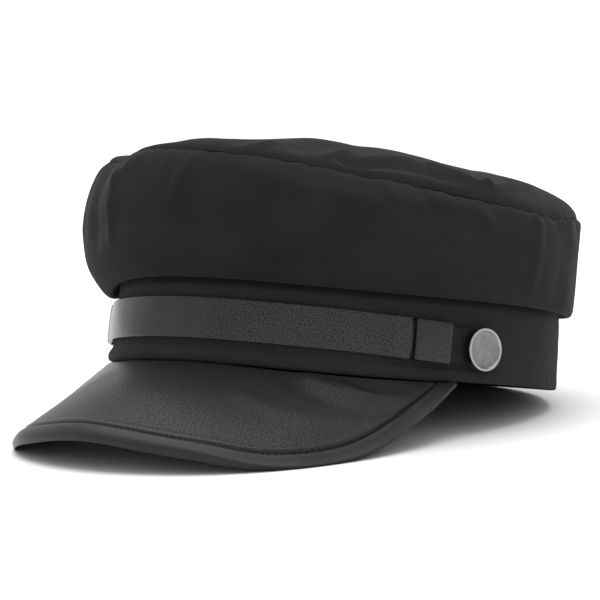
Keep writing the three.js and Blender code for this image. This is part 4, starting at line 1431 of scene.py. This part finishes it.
def mixed(tree, factor, under, over):
    """Colour under where the factor is 0, the grey over where it is 1."""
    mix = add_node(tree, "ShaderNodeMix", wires={"Factor": factor})
    mix.data_type = "RGBA"
    sockets = {one.name: one for one in mix.inputs if one.type == "RGBA"}
    tree.links.new(under, sockets["A"])
    sockets["B"].default_value = (*grey(over), 1)
    return [one for one in mix.outputs if one.type == "RGBA"][0]


def product(tree, first, second):
    node = add_node(tree, "ShaderNodeMath", wires={0: first, 1: second})
    node.operation = "MULTIPLY"
    return node.outputs["Value"]


# %% [markdown]
# ## Twill cloth
# The crown and the band are matt black twill: fine slanting ribs, a soft fuzz of fibres, and a surface
# that is never dyed or pressed quite evenly. A photo of cloth could be laid on it, but a wave, two
# noises and a faint sheen do the same at any scale. A few specks of lint lie on it, as on any black
# cloth.

# %% Twill
# about how far the ribs lie apart, in mm
TWILL_PITCH = 0.62
# a straight band of Blender's wave turns by this many radians in one unit of its coordinates
WAVE_RADIANS = 20
TWILL_SLANT = 1.6
# patterns for each millimetre
FIBRE_SCALE = 2.4
SLUB_SCALE = 0.16
BLOTCH_SCALE = 0.045
WEAVE_DEPTH = 0.10
SLUB_DEPTH = 0.5
SLUB_STRENGTH = 0.35
# the fibres' bump, as a share of the weave's
FIBRE_SHARE = 0.8
LINT_CELL = 13
LINT_RADIUS = 0.3
LINT_GREY = 0.07
# the share of the dark grey that is left in the band's strip of painted shade under the crown
PAINTED_SHADE_SHARE = 0.4


def twill_threads(tree):
    scale = 2 * math.pi / WAVE_RADIANS / TWILL_PITCH
    wires = {"Vector": cloth_coordinates(tree, (scale, scale * TWILL_SLANT, scale))}
    values = {"Scale": 1.0, "Distortion": 0.6, "Detail": 1.0}
    threads = add_node(tree, "ShaderNodeTexWave", values, wires)
    threads.bands_direction = "DIAGONAL"
    return threads.outputs["Fac"]


def twill(name, dark, light, sheen, bump_strength, painted_shade_span=None):
    """Fine twill. The last argument is a span up the cloth, in mm, painted blacker as shade."""
    finish, tree, shader = new_finish(name)
    blotches = noise(tree, room_coordinates(tree, BLOTCH_SCALE), detail=4.0, roughness=0.6)
    cloth = colour_range(tree, blotches, [(0.3, dark), (0.72, light)])
    # painted shade: the cloth turns blacker between the two places up it
    if painted_shade_span:
        shaded = value_range(tree, cloth_place(tree)[1], 0, 1, *painted_shade_span)
        cloth = mixed(tree, shaded, cloth, dark * PAINTED_SHADE_SHARE)
    lint = scattered_dots(tree, room_coordinates(tree, 1 / LINT_CELL), LINT_RADIUS / LINT_CELL)
    weave = bumped(tree, twill_threads(tree), WEAVE_DEPTH, bump_strength)
    fibres = noise(tree, cloth_coordinates(tree, grey(FIBRE_SCALE)), detail=2.0)
    fuzz = bumped(tree, fibres, WEAVE_DEPTH, bump_strength * FIBRE_SHARE, weave)
    slub = noise(tree, room_coordinates(tree, SLUB_SCALE), detail=3.0, roughness=0.6)
    wires = {
        "Base Color": mixed(tree, lint, cloth, LINT_GREY),
        "Normal": bumped(tree, slub, SLUB_DEPTH, SLUB_STRENGTH, fuzz),
        "Roughness": value_range(tree, blotches, low=0.85, high=0.98),
    }
    values = {"Specular IOR Level": 0.1, "Sheen Weight": sheen, "Sheen Roughness": 0.4}
    fill_sockets(shader, values, wires)
    return finish


crown_finish = twill("crown_cloth_finish", dark=0.0126, light=0.0180, sheen=0.038, bump_strength=0.35)
put_on(crown_finish, crown_side, crown_top)
# the band's last two millimetres under the crown's lip are painted blacker: painted shade of the crown
band_finish = twill(
    "band_cloth_finish", dark=0.0185, light=0.0225, sheen=0.03, bump_strength=0.3, painted_shade_span=(29.4, 31.4))
put_on(band_finish, band)

# %% [markdown]
# ## Leather
# The peak and the strap are grained black leather. Between the pebbles of the grain lie dark pores that
# don't shine; their darkness is partly the leather's own colour and partly painted shade in the grain's low
# places.
# Hands and weather rub the grain away, so both pieces are nearly smooth towards the wearer's right, and the
# rim of the peak has been pressed smooth by its maker. Worn leather is also polished: it looks darker from
# the front and brighter at a glancing angle.

# %% Leather
WORN_GRAIN = 0.2
WORN_DULLNESS = 0.6
EDGE_GLOSS = 0.6
PATCH_SCALE = 0.05
PORE_RANGE = (0.38, 0.62)
# the grey of the pores: partly their own dark colour, partly painted shade in the grain's hollows
PORE_AND_SHADE_GREY = 0.001
FINE_GRAIN = 0.8
# depths of the grain and of its fine relief, as shares of the grain's size
GRAIN_DEPTH = 0.16
FINE_DEPTH = 0.12
# how much duller than the leather's roughness its pores are, and how much smoother its pebbles
DULLER, SMOOTHER = 0.12, 0.06


def pebbles(tree, scale):
    values = {"Scale": 1.0, "Smoothness": 0.35}
    wires = {"Vector": cloth_coordinates(tree, grey(scale))}
    cells = add_node(tree, "ShaderNodeTexVoronoi")
    cells.feature = "SMOOTH_F1"
    fill_sockets(cells, values, wires)
    return cells.outputs["Distance"]


def leather(name, dark, light, grain_mm, grain_strength, contrast, rough, shine=0.5, worn=None,
            worn_shine=1.0, edge=None):
    """Leather whose pores are darker than its grain by the contrast, from 0 to 1.

    worn gives two places along the piece, in mm: the grain is rubbed nearly smooth before the first
    and is whole after the second, and worn_shine is the share of the shine that is left there. edge, on
    a worn piece, gives two places across it: the grain is whole before the first and pressed smooth
    after the second.
    """
    finish, tree, shader = new_finish(name)
    pores = noise(tree, cloth_coordinates(tree, grey(FINE_GRAIN / grain_mm)), detail=3.0, roughness=0.7)
    patches = noise(tree, room_coordinates(tree, PATCH_SCALE), detail=4.0, roughness=0.6)
    tops = colour_range(tree, patches, [(0.3, dark), (0.7, light)])
    # the pores' darkness, low where the grain is low: partly their own colour, partly painted shade
    depth = value_range(tree, pores, contrast, 0, *PORE_RANGE)
    dull = value_range(tree, pores, rough + DULLER, rough - SMOOTHER, start=0.35, end=0.65)
    relief, fine_relief = pebbles(tree, 1 / grain_mm), pores
    if worn:
        along, across = cloth_place(tree)
        unworn = value_range(tree, along, WORN_GRAIN, 1, *worn)
        whole = unworn
        if edge:
            whole = product(tree, unworn, value_range(tree, across, 1, WORN_GRAIN, *edge))
        depth, relief, fine_relief = (product(tree, one, whole) for one in (depth, relief, fine_relief))
        dull = product(tree, dull, value_range(tree, unworn, WORN_DULLNESS, 1, WORN_GRAIN, 1))
    gloss = value_range(tree, depth, shine, 0)
    if worn_shine < 1:
        gloss = product(tree, gloss, value_range(tree, unworn, worn_shine, 1, WORN_GRAIN, 1))
    if edge:
        gloss = product(tree, gloss, value_range(tree, across, 1, EDGE_GLOSS, *edge))
    grain = bumped(tree, relief, GRAIN_DEPTH * grain_mm, grain_strength)
    fill_sockets(shader, wires={
        "Base Color": mixed(tree, depth, tops, PORE_AND_SHADE_GREY),
        "Normal": bumped(tree, fine_relief, FINE_DEPTH * grain_mm, grain_strength, grain),
        "Roughness": dull,
        "Specular IOR Level": gloss,
    })
    return finish


peak_finish = leather(
    "peak_leather_finish", dark=0.020, light=0.026, grain_mm=0.5, grain_strength=0.65, contrast=0.72,
    rough=0.42, shine=0.32, worn=(-75, 5), edge=(50, 56))
strap_finish = leather(
    "strap_leather_finish", dark=0.027, light=0.035, grain_mm=0.45, grain_strength=0.75, contrast=0.74,
    rough=0.36, shine=0.54, worn=(78, 100), worn_shine=0.45)
keeper_finish = leather(
    "keeper_leather_finish", dark=0.0085, light=0.0115, grain_mm=0.9, grain_strength=0.2, contrast=0.2,
    rough=0.42)
tab_finish = leather(
    "tab_leather_finish", dark=0.006, light=0.009, grain_mm=0.8, grain_strength=0.25, contrast=0.2,
    rough=0.5, shine=0.18)
put_on(peak_finish, peak)
put_on(strap_finish, strap)
put_on(keeper_finish, *keepers.values())
put_on(tab_finish, *tabs.values())

# %% [markdown]
# ## Metal and thread
# The buttons are brushed metal. Their dish is dull and mottled, and their rim is given a lighter grey, so
# the place along the button's own profile chooses between the two. The thread is black and waxed, with a
# fine twist.

# %% Brushed metal
# the number of the last point of the button's profile that is bright, and where the brightness fades
# out round it, in mm
BRIGHT_RIM_LAST = 15
BRIGHT_RIM_FADE = (-0.2, 0.3)
BRIGHT_RIM_GREY = 0.42
DISH_GREYS = [(0.3, 0.17), (0.7, 0.27)]
STROKE_SCALE = 0.9
CLOUD_SCALE = 0.3


def brushed_metal(name):
    finish, tree, shader = new_finish(name)
    strokes = noise(tree, room_coordinates(tree, STROKE_SCALE), detail=5.0, roughness=0.7)
    cloudy = noise(tree, room_coordinates(tree, CLOUD_SCALE), detail=4.0, roughness=0.65)
    rim_end = [profile_lengths[BRIGHT_RIM_LAST] + step for step in BRIGHT_RIM_FADE]
    bright = value_range(tree, cloth_place(tree)[1], 1, 0, *rim_end)
    dish = colour_range(tree, cloudy, DISH_GREYS)
    fill_sockets(shader, {"Metallic": 1.0}, {
        "Base Color": mixed(tree, bright, dish, BRIGHT_RIM_GREY),
        "Normal": bumped(tree, strokes, depth_mm=0.05, strength=0.5),
        "Roughness": value_range(tree, cloudy, low=0.38, high=0.52, start=0.3, end=0.7),
    })
    return finish


put_on(brushed_metal("button_metal_finish"), *buttons.values())

# %% Waxed thread
TWIST_SCALE = 2.2


def waxed_thread(name, light):
    finish, tree, shader = new_finish(name)
    twist = noise(tree, room_coordinates(tree, TWIST_SCALE), detail=2.0)
    fill_sockets(shader, {"Roughness": 0.7, "Specular IOR Level": 0.2}, {
        "Base Color": colour_range(tree, twist, [(0.3, light * 0.7), (0.7, light)]),
        "Normal": bumped(tree, twist, depth_mm=0.08, strength=0.6),
    })
    return finish


put_on(waxed_thread("black_thread_finish", 0.008), peak_thread)

# %% [markdown]
# ## Floor and light
# The cap stands on a plain white floor that runs on without a horizon. The light is a white room:
# even light from all round makes the cloth's edges glow a little. One large soft light, overhead and
# far away, brightens the top and the peak and gathers the shadow under the cap. The room is seen a
# little brighter than it lights the cap, as it is where a photographer lights the backdrop by itself.

# %% The floor
FLOOR_HALF = 6.0


def plain_floor():
    sides = ((-1, -1), (1, -1), (1, 1), (-1, 1))
    corners = [(across * FLOOR_HALF, back * FLOOR_HALF, 0) for across, back in sides]
    mesh = bpy.data.meshes.new("floor")
    mesh.from_pydata(corners, [], [(0, 1, 2, 3)])
    finish, _, shader = new_finish("white_floor")
    fill_sockets(shader, {"Base Color": (*grey(0.9), 1), "Roughness": 0.8, "Specular IOR Level": 0.1})
    mesh.materials.append(finish)
    return placed("floor", mesh)


plain_floor()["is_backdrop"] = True
print("the floor is", 2 * FLOOR_HALF, "m wide")

# %% The light
WHITE = (1, 1, 1, 1)


def soft_light(name, place, target, softness, strength):
    """A large, even light, far away. softness is how wide it looks from the cap, in degrees."""
    light = bpy.data.lights.new(name, "SUN")
    light.angle = math.radians(softness)
    light.energy = strength
    holder = placed(name, light)
    holder.location = place
    aim = Vector(target) - Vector(place)
    holder.rotation_euler = aim.to_track_quat("-Z", "Y").to_euler()
    print(name, "comes down at", round(math.degrees(math.asin(-aim.normalized().z))), "degrees")


def white_room(seen, lighting):
    """A white surround: one strength where it is seen itself, and one for the light that it gives."""
    world = bpy.data.worlds.new("white_room")
    bpy.context.scene.world = world
    world.use_nodes = True
    tree = world.node_tree
    light_given = tree.nodes["Background"]
    fill_sockets(light_given, {"Color": WHITE, "Strength": lighting})
    backdrop = add_node(tree, "ShaderNodeBackground", {"Color": WHITE, "Strength": seen})
    path = add_node(tree, "ShaderNodeLightPath")
    chosen = add_node(tree, "ShaderNodeMixShader", wires={
        "Fac": path.outputs["Is Camera Ray"],
        1: light_given.outputs["Background"],
        2: backdrop.outputs["Background"],
    })
    fill_sockets(tree.nodes["World Output"], wires={"Surface": chosen.outputs["Shader"]})
    print("the room lights the cap at", lighting, "and is seen at", seen)


white_room(seen=1.1, lighting=0.8)
soft_light("overhead", place=(-0.12, 0.16, 1.6), target=(0, 0, 0.05), softness=58, strength=2.5)

# %% [markdown]
# ## The camera
# The camera stands low in front of the cap and to its wearer's left, and looks a little down. Its
# place and its lens were worked out from the cap's oval, its tilt and the size of the button. It is
# held a little tilted, so its rotation is built from three directions: sideways, up and backward.

# %% The camera
CAMERA_PLACE = np.array([454.12, -635.92, 115.86])
CAMERA_AIM = np.array([-8.49, 11.83, 46.59])
CAMERA_UP = np.array([-0.02576, 0.0881, 0.99578])
CAMERA_LENS = 117.26
CAMERA_SENSOR = 36
camera_data = bpy.data.cameras.new("camera")
camera_data.lens = CAMERA_LENS
camera_data.sensor_width = CAMERA_SENSOR
camera_data.clip_start = 0.01
camera = placed("camera", camera_data)
backward = unit(CAMERA_PLACE - CAMERA_AIM)
sideways = unit(np.cross(CAMERA_UP, backward))
upward = np.cross(backward, sideways)
camera.location = CAMERA_PLACE * MM
camera.rotation_euler = Matrix(np.stack([sideways, upward, backward], -1).tolist()).to_euler()
bpy.context.scene.camera = camera
bpy.context.scene.view_settings.view_transform = "Standard"
elevation = math.degrees(math.asin(backward[2]))
print("the camera looks down by", round(elevation, 1), "degrees")

# %% [markdown]
# ## Measure and finish
# The dressed cap has to stay as large as the plain one, so both boxes are written side by side.

# %% Write both boxes and finish
dressed_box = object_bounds()
size_of_dress = [round((high - low) / MM, 1) for low, high in zip(*dressed_box)]
print("the dressed cap measures, in mm:", size_of_dress)
